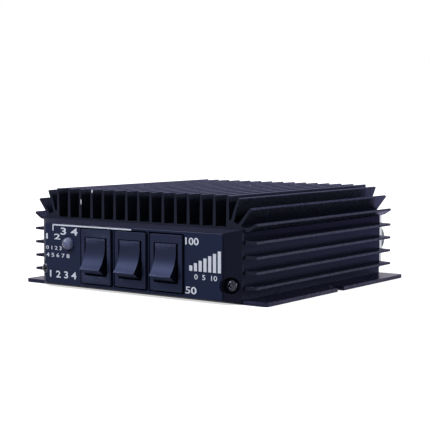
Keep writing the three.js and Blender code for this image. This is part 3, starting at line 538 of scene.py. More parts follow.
def label_film():
    """Blue-black printed film, satin, with a very faint surface and a painted highlight along its top edge.
    """
    finish = Finish("label_film", tone(30, 37, 61), roughness=0.45, specular=0.08, tint=BLUE_GLINT)
    clouds = finish.noise(38, detail=4)
    grain = finish.noise(4200, detail=2)
    finish.vary(clouds, 0.12).vary(grain, 0.05)
    broken = finish.spread(finish.noise(120), 0.4, 0.55, 0.1, 0.8)
    # Painted highlight: a broken paler line along the label's top edge
    finish.patch(finish.times(finish.across(LABEL_TOP - TIP_FADE, LABEL_TOP), broken), tone(86, 90, 112))
    finish.sheen(clouds, 0.06).relief(grain, 0.003)
    return finish.done()


def switch_plastic():
    """The switches' plastic, with wear and painted highlights on its edges, and painted shade on the rockers'
    side and downward faces, which the rockers mark.
    """
    finish = plastic("switch_plastic", tone(35, 40, 61), roughness=0.4, specular=0.06, grain=2400,
                     height=0.004, metallic=0.35, tint=BLUE_GLINT)
    # Painted highlights mixed with wear: paler outer edges, such as the rockers' top edge
    finish.edge_wear_and_highlight(tone(84, 90, 120), (0.53, 0.62), finish.noise(1200), (0.35, 0.6), (0.1, 0.4))
    # Painted shade: the rockers' marked side and downward faces are darker
    finish.patch(finish.marked(SHADED_FLANK), tone(16, 19, 31))
    return finish.done()


def printed_ink():
    """White ink, a little uneven."""
    finish = Finish("printed_ink", tone(213, 219, 235), roughness=0.55, specular=0.3)
    speckle = finish.noise(5200, detail=2)
    finish.vary(speckle, 0.05).relief(speckle, 0.003)
    finish.sheen(speckle, 0.05)
    return finish.done()


def metal(name, color, roughness, grain, height, spread=0.1):
    """A bare or plated metal, with scratches or brushing given by the grain's scale on each axis."""
    finish = Finish(name, color, roughness, metallic=1.0)
    lines = finish.noise(grain, detail=4, rough=0.6)
    clouds = finish.noise(80, detail=3)
    finish.vary(clouds, 0.1).vary(lines, 0.07)
    finish.sheen(lines, spread).relief(lines, height)
    return finish


def black_steel():
    """Blackened screws, rubbed on the edges of their heads."""
    finish = Finish("black_steel", tone(24, 25, 37), roughness=0.2, metallic=0.6, specular=0.4)
    grain = finish.noise(2600, detail=3)
    finish.vary(grain, 0.2)
    finish.edge_wear_and_highlight(tone(108, 110, 128), (0.52, 0.6), finish.noise(1500), (0.35, 0.6), (0.1, 0.8))
    finish.sheen(grain, 0.1).relief(grain, 0.006)
    return finish.done()


def brass():
    """Brass with brown stains."""
    finish = metal("brass", tone(199, 158, 84), roughness=0.32, grain=(900, 2600, 900), height=0.004)
    return finish.stain(tone(128, 92, 48), finish.noise(260, detail=5), (0.52, 0.75), 0.5).done()


def copper():
    """Copper wire and foil with brown stains."""
    finish = metal("copper", tone(196, 120, 78), roughness=0.34, grain=1800, height=0.003)
    return finish.stain(tone(120, 66, 44), finish.noise(420, detail=5), (0.5, 0.72), 0.55).done()


def lamp_resin():
    """Frosted grey resin of a lamp that is off, with painted shade on its left, where the lamps light it
    most.
    """
    finish = Finish("lamp_resin", tone(136, 143, 180), roughness=0.14, specular=0.3)
    low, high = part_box("lamp_lens")
    from_right, from_left = LAMP_SHADE
    # Painted shade: the lens is darker on its left, to even out the light that falls there
    finish.patch(finish.across(high.x / MM - from_right, low.x / MM + from_left, "X"), tone(34, 38, 54))
    milk = finish.noise(520, detail=3)
    finish.vary(milk, 0.1).sheen(milk, 0.04).relief(finish.noise(3200, detail=2), 0.002)
    finish.shader.inputs["Transmission Weight"].default_value = 0.1
    finish.shader.inputs["Subsurface Weight"].default_value = 1
    finish.shader.inputs["Subsurface Radius"].default_value = (0.8, 0.9, 1.1)
    finish.shader.inputs["Subsurface Scale"].default_value = 5 * MM
    return finish.done()


def rubber():
    """Black rubber with a grey bloom."""
    finish = plastic("grommet_rubber", tone(34, 34, 38), roughness=0.78, specular=0.3, grain=2200,
                     height=0.012, blotch=0.15)
    return finish.stain(tone(88, 86, 84), finish.noise(340, detail=5), (0.55, 0.8), 0.3).done()


def laminate():
    """Green glass-fibre board, with its weave showing through."""
    finish = Finish("board_laminate", tone(44, 98, 58), roughness=0.45)
    weave = finish.nodes.new("ShaderNodeTexChecker")
    weave.inputs["Scale"].default_value = 1600
    weave.inputs["Color1"].default_value = (0, 0, 0, 1)
    weave.inputs["Color2"].default_value = (1, 1, 1, 1)
    finish.link(finish.place, weave.inputs["Vector"])
    clouds = finish.noise(60, detail=3)
    finish.vary(clouds, 0.15).vary(weave.outputs["Fac"], 0.08)
    finish.sheen(clouds, 0.08).relief(weave.outputs["Fac"], 0.006)
    return finish.done()


def ferrite():
    """Dark grey ferrite with pale flecks."""
    finish = plastic("ferrite", tone(58, 58, 62), roughness=0.7, specular=0.4, grain=1800, height=0.02,
                     blotch=0.2)
    return finish.stain(tone(110, 110, 118), finish.noise(3000, detail=2), (0.62, 0.7), 0.5).done()


# A finish for each slot, and aged brass for the contact levers
FINISHES = {
    "black_anodised": anodised(),
    "black_coated": coated(),
    "cap_plastic": moulded_cap(),
    "label_film": label_film(),
    "switch_plastic": switch_plastic(),
    "bare_aluminium": metal(
        "bare_aluminium", tone(164, 166, 174), roughness=0.34, grain=(12, 2400, 2400), height=0.006).done(),
    "black_steel": black_steel(),
    "zinc_steel": metal("zinc_steel", tone(188, 191, 198), roughness=0.28, grain=900, height=0.004).done(),
    "nickel": metal(
        "nickel", tone(128, 132, 142), roughness=0.26, grain=1100, height=0.003, spread=0.07).done(),
    "brass": brass(),
    "copper": copper(),
    "aged_brass": metal("aged_brass", tone(92, 72, 44), roughness=0.5, grain=900, height=0.004).done(),
    "lamp_resin": lamp_resin(),
    "socket_insulator": plastic(
        "socket_insulator", tone(224, 221, 208), roughness=0.5, specular=0.4, grain=1500, height=0.005,
        blotch=0.05).done(),
    "grommet_rubber": rubber(),
    "board_laminate": laminate(),
    "ferrite": ferrite(),
    "black_epoxy": plastic(
        "black_epoxy", tone(38, 38, 40), roughness=0.62, specular=0.4, grain=2400, height=0.015,
        blotch=0.12).done(),
    "relay_case": plastic(
        "relay_case", tone(44, 92, 158), roughness=0.36, specular=0.5, grain=1700, height=0.004,
        blotch=0.06).done(),
    "can_sleeve": plastic(
        "can_sleeve", tone(36, 52, 88), roughness=0.3, specular=0.5, grain=900, height=0.004).done(),
    "silicone_pad": plastic(
        "silicone_pad", tone(158, 164, 168), roughness=0.8, specular=0.3, grain=2000, height=0.01).done(),
}
INK = printed_ink()

for node, piece in cad.items():
    piece.material_slots[0].material = FINISHES[slot_of_node[node]]


# The object's pieces. Sizes and places are in millimetres

SWITCHES = ("left", "middle", "right")
OVERRUN = 1
CORNER_ROUNDING = 0.28
END_ROUNDING = 0.12
FLATTEST_CORNER = 150
SECTION_DOUBLES = 0.01
PORT_RADIUS = 1.4
PORT_REACH = 60
PORT_CLEARANCE = 0.14
HOLE_RADIUS = 1.5
HOLE_SPARE = 0.25
DECK_SCREWS = (
    "base_screw_front_left", "base_screw_front_right", "base_screw_rear_left", "base_screw_rear_right",
    "left_transistor_screw", "right_transistor_screw")


def heatsink():
    """The extrusion: its section is taken from the CAD node, rounded at its corners, filled and extruded."""
    low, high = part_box("heatsink")
    port = sum(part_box("front_screw_right"), Vector()) / 2
    piece = copy_of("heatsink")
    bpy.ops.mesh.select_all(action="SELECT")
    bpy.ops.mesh.bisect(plane_co=(0, 0, 0), plane_no=REAR, clear_inner=True, clear_outer=True)
    bpy.ops.mesh.select_all(action="SELECT")
    bpy.ops.mesh.remove_doubles(threshold=SECTION_DOUBLES * MM)

    def is_at_port(vertex):
        away = math.hypot(abs(vertex.co.x) - port.x, vertex.co.z - port.z)
        return away < (PORT_RADIUS + PORT_CLEARANCE) * MM

    def is_corner_of_section(vertex):
        first, second = [edge.other_vert(vertex).co - vertex.co for edge in vertex.link_edges]
        return math.degrees(first.angle(second)) < FLATTEST_CORNER

    def is_at_end(edge):
        return abs(abs(sum(face.normal.y for face in edge.link_faces)) - 1) < 0.1

    choose(piece, "VERT", is_at_port)
    bpy.ops.mesh.delete(type="VERT")
    choose(piece, "VERT", is_corner_of_section)
    bpy.ops.mesh.bevel(offset=CORNER_ROUNDING * MM, segments=3, affect="VERTICES", clamp_overlap=True)
    bpy.ops.mesh.select_all(action="SELECT")
    bpy.ops.transform.translate(value=(0, low.y, 0))
    bpy.ops.mesh.edge_face_add()
    bpy.ops.mesh.select_all(action="SELECT")
    bpy.ops.mesh.extrude_region_move(TRANSFORM_OT_translate={"value": (0, high.y - low.y, 0)})
    close_up(piece)
    choose(piece, "EDGE", is_at_end)
    bpy.ops.mesh.bevel(offset=END_ROUNDING * MM, segments=2, affect="EDGES", clamp_overlap=True)
    tools = [
        rod("port", PORT_RADIUS, (side * port.x / MM, -PORT_REACH, port.z / MM),
            (side * port.x / MM, PORT_REACH, port.z / MM))
        for side in (-1, 1)
    ]
    for node in DECK_SCREWS:
        bottom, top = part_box(node)
        x, y = (bottom.x + top.x) / 2 / MM, (bottom.y + top.y) / 2 / MM
        start, end = bottom.z / MM - OVERRUN, top.z / MM + HOLE_SPARE
        tools.append(rod("hole", HOLE_RADIUS, (x, y, start), (x, y, end)))
    for tool in tools:
        combine(piece, tool)
    smooth(piece)
    fit(piece, "heatsink", FINISHES["black_anodised"])


SWITCH_METAL = ("common_terminal", "load_terminal", "contact_lever", "wire")
EDGE_ROUNDINGS = {
    0.14: ["base_plate", "output_transformer_winding"],
    0.22: ["lamp_clip"],
    0.07: ["circuit_board", "switch_bus_wire", "antenna_wire", "radio_wire",
           *[f"{side}_switch_{metal}" for side in SWITCHES for metal in SWITCH_METAL]],
    0.16: ["rear_panel"],
    0.3: ["antenna_relay", "radio_relay", "left_power_transistor", "right_power_transistor"],
    0.5: ["output_transformer_core", "input_transformer_core", "supply_choke", "supply_capacitor",
          "preamp_transistor"],
    0.06: ["left_transistor_pad", "right_transistor_pad"],
}


def softened():
    """CAD nodes whose shape is right, each with its edges rounded by its width in the table."""
    for width, nodes in EDGE_ROUNDINGS.items():
        for node in nodes:
            piece = copy_of(node)
            round_edges(piece, width)
            smooth(piece)
            fit(piece, node, FINISHES["aged_brass" if "contact_lever" in node else slot_of_node[node]])


CAP_FACE = -56.0
CAP_ROUNDING = 0.22
GROOVE_WIDTH = 0.55
GROOVE_DEPTH = 1.2
BEZEL_SPARE = 0.3
LABEL_ROUNDING = 0.07
LABEL_CUT = 0.6


def bezel_box(side):
    """The low and the high corner of a switch's housing, in millimetres."""
    return [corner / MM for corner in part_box(f"{side}_switch_housing")]


def front_cap():
    """The moulded cap, with a narrow groove round each bezel."""
    piece = copy_of("front_cap")
    round_edges(piece, CAP_ROUNDING)
    for side in SWITCHES:
        low, high = bezel_box(side)
        groove = block("groove", (low.x - 2 * GROOVE_WIDTH, CAP_FACE - OVERRUN, low.z - GROOVE_WIDTH),
                       (high.x + GROOVE_WIDTH, CAP_FACE + GROOVE_DEPTH, high.z + GROOVE_WIDTH))
        core = block("core", (low.x + BEZEL_SPARE, CAP_FACE - 2 * OVERRUN, low.z + BEZEL_SPARE),
                     (high.x - BEZEL_SPARE, CAP_FACE + 2 * OVERRUN, high.z - BEZEL_SPARE))
        combine(piece, combine(groove, core))
    smooth(piece)
    fit(piece, "front_cap", FINISHES["cap_plastic"])


def front_label():
    """The film on the cap, cut back on the left of each bezel as far as the groove."""
    piece = copy_of("front_label")
    stop_editing()
    for side in SWITCHES:
        low, high = bezel_box(side)
        opening = block("opening", (low.x - 2 * GROOVE_WIDTH, CAP_FACE - 2 * OVERRUN, low.z - LABEL_CUT),
                        (low.x, CAP_FACE + OVERRUN, high.z + LABEL_CUT))
        combine(piece, opening)
    round_edges(piece, LABEL_ROUNDING)
    smooth(piece)
    fit(piece, "front_label", FINISHES["label_film"])


BEZEL_ROUNDING = 0.2
WINDOW_ROUNDING = 0.08
WINDOW_MARGIN = 0.95
ROCKER_ROUNDING = 0.2
FLANK_TURN = 0.7


def switches():
    """The three switches' housings and rockers."""
    for side in SWITCHES:
        housing = copy_of(f"{side}_switch_housing")
        low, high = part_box(f"{side}_switch_rocker")
        around = Vector((1, 0, 1)) * WINDOW_MARGIN * MM

        def at_window(edge):
            middle = (edge.verts[0].co + edge.verts[1].co) / 2
            return all(low[axis] - around[axis] < middle[axis] < high[axis] + around[axis] for axis in (0, 2))

        round_edges(housing, BEZEL_ROUNDING, where=lambda edge: not at_window(edge))
        round_edges(housing, WINDOW_ROUNDING, 2, where=at_window)
        smooth(housing)
        fit(housing, f"{side}_switch_housing", FINISHES["switch_plastic"])
        rocker = copy_of(f"{side}_switch_rocker")
        round_edges(rocker, ROCKER_ROUNDING, 4)
        smooth(rocker)
        # Marks the rocker's side and downward faces for painted shade
        mark_faces(rocker, SHADED_FLANK, lambda face: abs(face.normal.x) > FLANK_TURN or face.normal.z < -FLANK_TURN)
        fit(rocker, f"{side}_switch_rocker", FINISHES["switch_plastic"])


LABEL_FRONT = -56.5
INK_REACH = 0.03
BRACKET = ((-39.4, 24.55, 1.2, 25.1), (-39.4, 22.5, -38.85, 24.8))
BAR_COUNT = 7
BAR_SHARE = 0.65
BARS = (28.7, 11.4, 42.9, 19.2)
# Each row of figures, with the left, bottom, right and top of its space and the weight added to its strokes
FIGURES = (
    ("1 2", (-42.9, 19.1, -35.3, 21.3), 0.015),
    ("3 4", (-35.0, 21.1, -26.0, 23.9), 0.015),
    ("0 1 2 3", (-42.9, 14.9, -34.6, 16.4), 0.01),
    ("4 5 6 7 8", (-42.9, 12.0, -30.4, 13.6), 0.01),
    ("1 2 3 4", (-41.0, 3.9, -26.8, 6.7), 0.02),
    ("100", (26.9, 20.8, 33.0, 23.5), 0.02),
    ("50", (26.9, 2.9, 32.0, 5.6), 0.02),
    ("0  5  10", (31.0, 8.4, 41.2, 10.3), 0.01),
)


def block_of_ink(left, bottom, right, top):
    """A printed bar on the label, between four places."""
    return block("bar", (left, LABEL_FRONT - INK_REACH, bottom), (right, LABEL_FRONT + INK_REACH, top))


def rising_bars():
    """Bars side by side, each a step higher than the one before."""
    start, foot, end, head = BARS
    pitch = (end - start) / (BAR_COUNT - 1 + BAR_SHARE)
    step = (head - foot) / (BAR_COUNT + 1)
    return [
        block_of_ink(start + i * pitch, foot, start + (i + BAR_SHARE) * pitch, foot + (i + 2) * step)
        for i in range(BAR_COUNT)
    ]


def digits(body, left, bottom, right, top, weight):
    """Printed figures that fill a space on the label."""
    stop_editing()
    bpy.ops.object.text_add()
    piece = bpy.context.object
    piece.data.body = body
    piece.data.offset = weight
    piece.data.extrude = INK_REACH
    piece.data.resolution_u = 4
    bpy.ops.object.convert(target="MESH")
    piece = bpy.context.object
    across = [corner[0] for corner in piece.bound_box]
    upward = [corner[1] for corner in piece.bound_box]
    wide = (right - left) / (max(across) - min(across))
    high = (top - bottom) / (max(upward) - min(upward))
    piece.scale = (wide * MM, high * MM, MM)
    piece.rotation_euler = (math.pi / 2, 0, 0)
    piece.location = ((left - min(across) * wide) * MM, LABEL_FRONT * MM, (bottom - min(upward) * high) * MM)
    settle(piece)
    close_up(piece)
    stop_editing()
    return piece


def label_print():
    """The white print on the label: a bracket over two switches, rows of figures and rising bars."""
    bars = rising_bars()
    bracket = [block_of_ink(*place) for place in BRACKET]
    figures = [digits(body, *place, weight) for body, place, weight in FIGURES]
    piece = joined([*bracket, *figures, *bars])
    piece.name = piece.data.name = "label_print"
    add_on(piece, "front_label", INK)


LAMP_RADIUS = 2.5
LAMP_RIM_RADIUS = 3.1
LAMP_CHAMFER = 0.1
DOME_START = -56.5
DOME_STEPS = 14
LAMP_RIM_FRONT = -54.2
LAMP_RIM_BACK = -53.1
LAMP_BACK = -49.9
LEAD_OFFSET = 1.27
LEAD_REACH = 0.3
LEAD_START = -51.5
LEAD_TIP = -40.9
LEAD_ROUNDING = 0.1


def lamp():
    """The frosted lamp with its rim, and its two leads."""
    low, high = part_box("lamp_lens")
    x, z = (low.x + high.x) / 2 / MM, (low.z + high.z) / 2 / MM
    turns = [i / DOME_STEPS * math.pi / 2 for i in range(DOME_STEPS + 1)]
    lens = turned("lamp_lens_shown", [
        *[(LAMP_RADIUS * math.sin(turn), DOME_START - LAMP_RADIUS * math.cos(turn)) for turn in turns],
        (LAMP_RADIUS, LAMP_RIM_FRONT), (LAMP_RIM_RADIUS - LAMP_CHAMFER, LAMP_RIM_FRONT),
        (LAMP_RIM_RADIUS, LAMP_RIM_FRONT + LAMP_CHAMFER), (LAMP_RIM_RADIUS, LAMP_RIM_BACK - LAMP_CHAMFER),
        (LAMP_RIM_RADIUS - LAMP_CHAMFER, LAMP_RIM_BACK), (LAMP_RADIUS, LAMP_RIM_BACK),
        (LAMP_RADIUS, LAMP_BACK - LAMP_CHAMFER), (LAMP_RADIUS - LAMP_CHAMFER, LAMP_BACK), (0, LAMP_BACK),
    ], (x, 0, z))
    smooth(lens, 40)
    fit(lens, "lamp_lens", FINISHES["lamp_resin"])
    leads = joined([
        block("lead", (place - LEAD_REACH, LEAD_START, z - LEAD_REACH),
              (place + LEAD_REACH, LEAD_TIP, z + LEAD_REACH))
        for place in (x - LEAD_OFFSET, x + LEAD_OFFSET)
    ])
    leads.name = leads.data.name = "lamp_leads"
    round_edges(leads, LEAD_ROUNDING, 2)
    smooth(leads)
    add_on(leads, "lamp_lens", FINISHES["nickel"])


# Profiles of the two kinds of head, as shares of the head's radius and of its rise
DOMED_SHARES = (
    (0, 1), (0.3, 0.985), (0.55, 0.9), (0.76, 0.74), (0.91, 0.5), (0.985, 0.26), (1, 0.08), (0.97, 0))
FLAT_SHARES = ((0, 1), (0.95, 1), (1, 0.93), (1, 0.86))
COLLAR = 1.4
COLLAR_SHARE = 0.84
CROSS_WIDTH = 0.72
CROSS_LENGTH = 2.6
CROSS_DEPTH = 1.0
CROSS_FLOOR_SHARE = 0.62
THREAD_PITCH = 0.8
THREAD_HALF = 0.12
THREAD_SINK = 0.05
THREAD_START = 0.9
SUNK_THREAD_START = 0.5
THREAD_STOP = 1.3
TIP_LENGTH = 1.4
TIP_RADIUS = 0.35
FIRST_TURN = 1.4
TURN_STEP = 1.1


def cross_tool(rise):
    """A cutter for the cross in a screw's head that rises so far, narrowing inwards."""
    arms = []
    for x, z in ((CROSS_LENGTH / 2, CROSS_WIDTH / 2), (CROSS_WIDTH / 2, CROSS_LENGTH / 2)):
        arm = block("arm", (-x, -rise - OVERRUN, -z), (x, CROSS_DEPTH - rise, z))
        edit(arm)
        choose(arm, "VERT", lambda vertex: vertex.co.y > -rise * MM)
        bpy.ops.transform.resize(value=(CROSS_FLOOR_SHARE, 1, CROSS_FLOOR_SHARE), center_override=(0, 0, 0))
        stop_editing()
        arms.append(arm)
    return combine(arms[0], arms[1], "UNION")


def screw_model(name, head, rise, shank, length, shares=DOMED_SHARES, thread_start=THREAD_START, collar=0):
    """A cross-head screw along +Y with its seat at the origin, its thread cut and, when a collar is given,
    its head on a collar.
    """
    top = [(out * head, -up * rise - collar) for out, up in shares]
    if collar:
        top += [(COLLAR_SHARE * head, -collar), (COLLAR_SHARE * head, 0)]
    core = shank - THREAD_HALF
    body = turned(name, [*top, (core, 0), (core, length - TIP_LENGTH), (TIP_RADIUS, length), (0, length)],
                  (0, 0, 0), 32)
    thread = threaded("thread", core - THREAD_SINK, shank + THREAD_HALF, THREAD_PITCH, thread_start,
                      length - THREAD_STOP, 24)
    combine(body, thread, "UNION")
    combine(body, cross_tool(rise + collar))
    smooth(body, 30)
    return body


def screws():
    """All ten screws, each kind modelled once and copied to its places."""
    face_down = Matrix.Rotation(math.pi / 2, 4, "X")
    about = Matrix.Rotation(math.pi, 4, "Z")
    pan = screw_model("pan_screw", head=2.35, rise=1.7, shank=1.15, length=8)
    raised = screw_model("raised_screw", head=2.35, rise=1.7, shank=1.15, length=8, collar=COLLAR)
    sunk = screw_model("sunk_screw", head=2.5, rise=1.25, shank=1.25, length=6, shares=FLAT_SHARES,
                       thread_start=SUNK_THREAD_START)
    tab = screw_model("tab_screw", head=2.4, rise=1.6, shank=1.25, length=4.25)
    places = {}
    for end, model, turn in (("front", raised, Matrix()), ("rear", pan, about)):
        for side in ("left", "right"):
            places[f"{end}_screw_{side}"] = (model, turn, end)
            places[f"base_screw_{end}_{side}"] = (sunk, face_down, "base")
    for side in ("left", "right"):
        places[f"{side}_transistor_screw"] = (tab, face_down, "base")
    for i, (node, (model, turn, face)) in enumerate(places.items()):
        low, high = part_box(node)
        middle = (low + high) / 2
        rise = -min(corner[1] for corner in model.bound_box)
        seat = {
            "front": (middle.x, low.y + rise - COLLAR * MM, middle.z),
            "rear": (middle.x, high.y - rise, middle.z),
            "base": (middle.x, middle.y, low.z + rise),
        }[face]
        matrix = Matrix.Translation(seat) @ turn @ Matrix.Rotation(FIRST_TURN + i * TURN_STEP, 4, "Y")
        fit(moved_copy(model, f"{node}_shown", matrix), node, FINISHES[slot_of_node[node]])
    for model in (pan, raised, sunk, tab):
        take(model)
        bpy.ops.object.delete()


SOCKETS = {"antenna": 34.5, "radio": -34.5}
SOCKET_HEIGHT = 14.6
SOCKET_STEPS = 64
BORE_RADIUS = 6.1
MOUTH_RADIUS = 6.35
BARREL_RADIUS = 7.4
SHOULDER_RADIUS = 9.2
SHOULDER_START = 48.1
SHOULDER_END = 49.7
SHOULDER_CHAMFER = 0.2
RIM = 67.5
RIM_CHAMFER = 0.3
BORE_ALLOWANCE = 0.2
SOCKET_THREAD_ROOT = 7.3
SOCKET_THREAD_CREST = 7.9
SOCKET_THREAD_PITCH = 1.058
SOCKET_THREAD_START = 50.2
SOCKET_THREAD_END = 67.2
CREST_SPARE = 0.05
THREAD_END_CHAMFER = 0.6
RIM_NOTCHES = 4
NOTCH_RADIUS = 0.55
NOTCH_REACH = (5, 9)


def socket_shell():
    """A threaded shell with a notched rim, on the line through the origin along Y."""
    wall = BORE_RADIUS - BORE_ALLOWANCE
    shell = turned("shell", [
        (wall, SHOULDER_START),
        (SHOULDER_RADIUS - SHOULDER_CHAMFER, SHOULDER_START),
        (SHOULDER_RADIUS, SHOULDER_START + SHOULDER_CHAMFER),
        (SHOULDER_RADIUS, SHOULDER_END - SHOULDER_CHAMFER),
        (SHOULDER_RADIUS - SHOULDER_CHAMFER, SHOULDER_END),
        (BARREL_RADIUS, SHOULDER_END),
        (BARREL_RADIUS, RIM - RIM_CHAMFER), (BARREL_RADIUS - RIM_CHAMFER, RIM), (MOUTH_RADIUS, RIM),
        (wall, RIM - MOUTH_RADIUS + wall), (wall, SHOULDER_START),
    ], (0, 0, 0), SOCKET_STEPS)
    thread = threaded("thread", SOCKET_THREAD_ROOT, SOCKET_THREAD_CREST, SOCKET_THREAD_PITCH,
                      SOCKET_THREAD_START, SOCKET_THREAD_END, SOCKET_STEPS)
    outside = SOCKET_THREAD_CREST + CREST_SPARE
    envelope = turned("envelope", [
        (0, SOCKET_THREAD_START - OVERRUN), (outside, SOCKET_THREAD_START - OVERRUN),
        (outside, RIM - THREAD_END_CHAMFER), (outside - THREAD_END_CHAMFER, RIM), (0, RIM),
    ], (0, 0, 0), SOCKET_STEPS)
    combine(thread, envelope, "INTERSECT")
    thread.data.transform(Matrix.Rotation(math.pi / SOCKET_STEPS, 4, "Y"))
    combine(shell, thread, "UNION")
    start, end = (0, SHOULDER_START - OVERRUN, 0), (0, RIM + OVERRUN, 0)
    combine(shell, rod("bore", BORE_RADIUS, start, end, SOCKET_STEPS))
    for i in range(RIM_NOTCHES):
        turn = math.tau * (i + 0.5) / RIM_NOTCHES
        start, end = [(reach * math.cos(turn), RIM, reach * math.sin(turn)) for reach in NOTCH_REACH]
        combine(shell, rod("notch", NOTCH_RADIUS, start, end, 16))
    return shell


INSULATOR_ROUNDING = 0.35
SLOT_START = 54.5
SLOT_END = 63
SLOT_REACH = 4
SLOT_HALF = 0.28
CONTACT_ROUNDING = 0.12
NUT_START = 51.4
NUT_SHOULDER = 53.3
NUT_END = 54.15
NUT_RADIUS = 10.75
NUT_END_RADIUS = 9.1
NUT_ROUNDING = 0.1


def sockets():
    """Both coaxial sockets: shell, insulator, slotted contact and chamfered nut."""
    shell = socket_shell()
    for name, x in SOCKETS.items():
        place = Matrix.Translation(Vector((x, 0, SOCKET_HEIGHT)) * MM)
        piece = moved_copy(shell, f"{name}_socket_shell_shown", place)
        smooth(piece, 30)
        fit(piece, f"{name}_socket_shell", FINISHES["nickel"])

        insulator = copy_of(f"{name}_socket_insulator")
        round_edges(insulator, INSULATOR_ROUNDING)
        smooth(insulator)
        fit(insulator, f"{name}_socket_insulator", FINISHES["socket_insulator"])

        contact = copy_of(f"{name}_socket_contact")
        stop_editing()
        for turn in (math.pi / 4, 3 * math.pi / 4):
            slot = block("slot", (-SLOT_REACH, SLOT_START, -SLOT_HALF), (SLOT_REACH, SLOT_END, SLOT_HALF))
            slot.data.transform(place @ Matrix.Rotation(turn, 4, "Y"))
            combine(contact, slot)
        round_edges(contact, CONTACT_ROUNDING, 2)
        smooth(contact)
        fit(contact, f"{name}_socket_contact", FINISHES["brass"])

        nut = copy_of(f"{name}_socket_nut")
        stop_editing()
        dome = turned("dome", [
            (0, NUT_START), (NUT_RADIUS, NUT_START), (NUT_RADIUS, NUT_SHOULDER), (NUT_END_RADIUS, NUT_END),
            (0, NUT_END),
        ], (x, 0, SOCKET_HEIGHT), 96)
        combine(nut, dome, "INTERSECT")
        round_edges(nut, NUT_ROUNDING, 2)
        smooth(nut, 25)
        fit(nut, f"{name}_socket_nut", FINISHES["nickel"])
    take(shell)
    bpy.ops.object.delete()


GROMMET_ROUNDING = 0.5


def grommet():
    """The rubber grommet, with full round collars."""
    piece = copy_of("power_lead_grommet")
    round_edges(piece, GROMMET_ROUNDING, 5)
    smooth(piece)
    fit(piece, "power_lead_grommet", FINISHES["grommet_rubber"])


heatsink()
softened()
front_cap()
front_label()
switches()
label_print()
lamp()
screws()
sockets()
grommet()


# The stage. Sizes and places are in metres

WORLD_LIGHT = 0.2
FLOOR_SIZE = 12
FLOOR_DROP = 0.05 * MM
FLOOR_SHADE = (0.4, 0.4, 0.4, 1)
SEEN_FLOOR_SHADE = (0.9, 0.9, 0.9, 1)
GLOW_FROM, GLOW_TO = 0.1, 0.9
GLOW_NEAR, GLOW_FAR = 0.62, 0.82
# Each lamp's name, place, size and power
LIGHTS = (
    ("key_light", (-0.62, -0.72, 0.8), 0.5, 12.0),
    ("side_light", (0.9, 0.6, 0.36), 0.25, 7.0),
    ("top_light", (0.1, 0.3, 1.2), 0.8, 4.0),
)
CAMERA_PLACE = (0.289967, -0.39775, 0.063925)
CAMERA_AIM = (-0.00048, -0.0008, 0.02697)
CAMERA_LENS = 99.77
CAMERA_SENSOR = 36
CAMERA_RANGE = (0.01, 50)


def seen(nodes, links):
    """1 for rays from the camera and for those that metal and glass send on, 0 for the others."""
    path = nodes.new("ShaderNodeLightPath")
    total = path.outputs["Is Camera Ray"]
    for kind in ("Is Glossy Ray", "Is Transmission Ray"):
        more = nodes.new("ShaderNodeMath")
        more.operation = "ADD"
        more.use_clamp = True
        links.new(total, more.inputs[0])
        links.new(path.outputs[kind], more.inputs[1])
        total = more.outputs["Value"]
    return total


def surroundings():
    """White wherever they are seen, and dim as a light on the object."""
    world = bpy.data.worlds.new("studio")
    bpy.context.scene.world = world
    world.use_nodes = True
    nodes, links = world.node_tree.nodes, world.node_tree.links
    level = nodes.new("ShaderNodeMapRange")
    level.inputs["To Min"].default_value = WORLD_LIGHT
    level.inputs["To Max"].default_value = 1
    links.new(seen(nodes, links), level.inputs["Value"])
    nodes["Background"].inputs["Color"].default_value = (1, 1, 1, 1)
    links.new(level.outputs["Result"], nodes["Background"].inputs["Strength"])


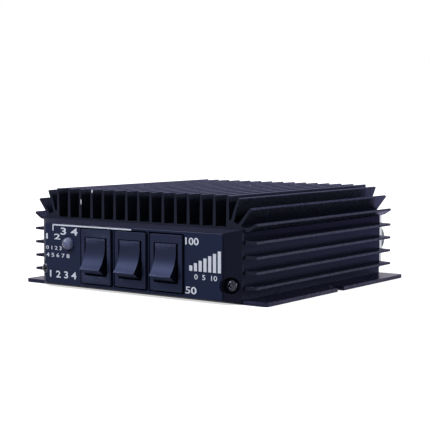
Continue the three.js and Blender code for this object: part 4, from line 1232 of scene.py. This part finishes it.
def pale_floor():
    """Matt grey as the object meets it, and where it is seen, a glow that keeps the shadow."""
    material = bpy.data.materials.new("pale_floor")
    material.use_nodes = True
    nodes, links = material.node_tree.nodes, material.node_tree.links
    nodes.remove(nodes["Principled BSDF"])
    away = nodes.new("ShaderNodeVectorMath")
    away.operation = "LENGTH"
    links.new(nodes.new("ShaderNodeTexCoord").outputs["Object"], away.inputs[0])
    fade = nodes.new("ShaderNodeMapRange")
    fade.interpolation_type = "SMOOTHSTEP"
    for socket, value in zip(("From Min", "From Max", "To Min", "To Max"),
                             (GLOW_FROM, GLOW_TO, GLOW_NEAR, GLOW_FAR)):
        fade.inputs[socket].default_value = value
    links.new(away.outputs["Value"], fade.inputs["Value"])
    glow = nodes.new("ShaderNodeEmission")
    links.new(fade.outputs["Result"], glow.inputs["Strength"])
    matt = nodes.new("ShaderNodeBsdfDiffuse")
    matt.inputs["Color"].default_value = FLOOR_SHADE
    pale = nodes.new("ShaderNodeBsdfDiffuse")
    pale.inputs["Color"].default_value = SEEN_FLOOR_SHADE
    both = nodes.new("ShaderNodeAddShader")
    links.new(pale.outputs["BSDF"], both.inputs[0])
    links.new(glow.outputs["Emission"], both.inputs[1])
    mix = nodes.new("ShaderNodeMixShader")
    links.new(seen(nodes, links), mix.inputs["Fac"])
    links.new(matt.outputs["BSDF"], mix.inputs[1])
    links.new(both.outputs["Shader"], mix.inputs[2])
    links.new(mix.outputs["Shader"], nodes["Material Output"].inputs["Surface"])
    return material


def ground():
    stop_editing()
    bpy.ops.mesh.primitive_plane_add(size=FLOOR_SIZE, location=(0, 0, -FLOOR_DROP))
    floor = bpy.context.object
    floor.name = "floor"
    floor.data.materials.append(pale_floor())


def lights():
    for name, place, size, power in LIGHTS:
        data = bpy.data.lights.new(name, "AREA")
        data.size, data.energy = size, power
        light = bpy.data.objects.new(name, data)
        bpy.context.scene.collection.objects.link(light)
        light.location = place
        light.rotation_euler = (-Vector(place)).to_track_quat("-Z", "Y").to_euler()


def camera():
    data = bpy.data.cameras.new("camera")
    data.lens, data.sensor_width = CAMERA_LENS, CAMERA_SENSOR
    data.clip_start, data.clip_end = CAMERA_RANGE
    view = bpy.data.objects.new("camera", data)
    bpy.context.scene.collection.objects.link(view)
    view.location = CAMERA_PLACE
    view.rotation_euler = (Vector(CAMERA_AIM) - view.location).to_track_quat("-Z", "Y").to_euler()
    bpy.context.scene.camera = view


bpy.context.scene.view_settings.view_transform = "Standard"
surroundings()
ground()
lights()
camera()

stop_editing()
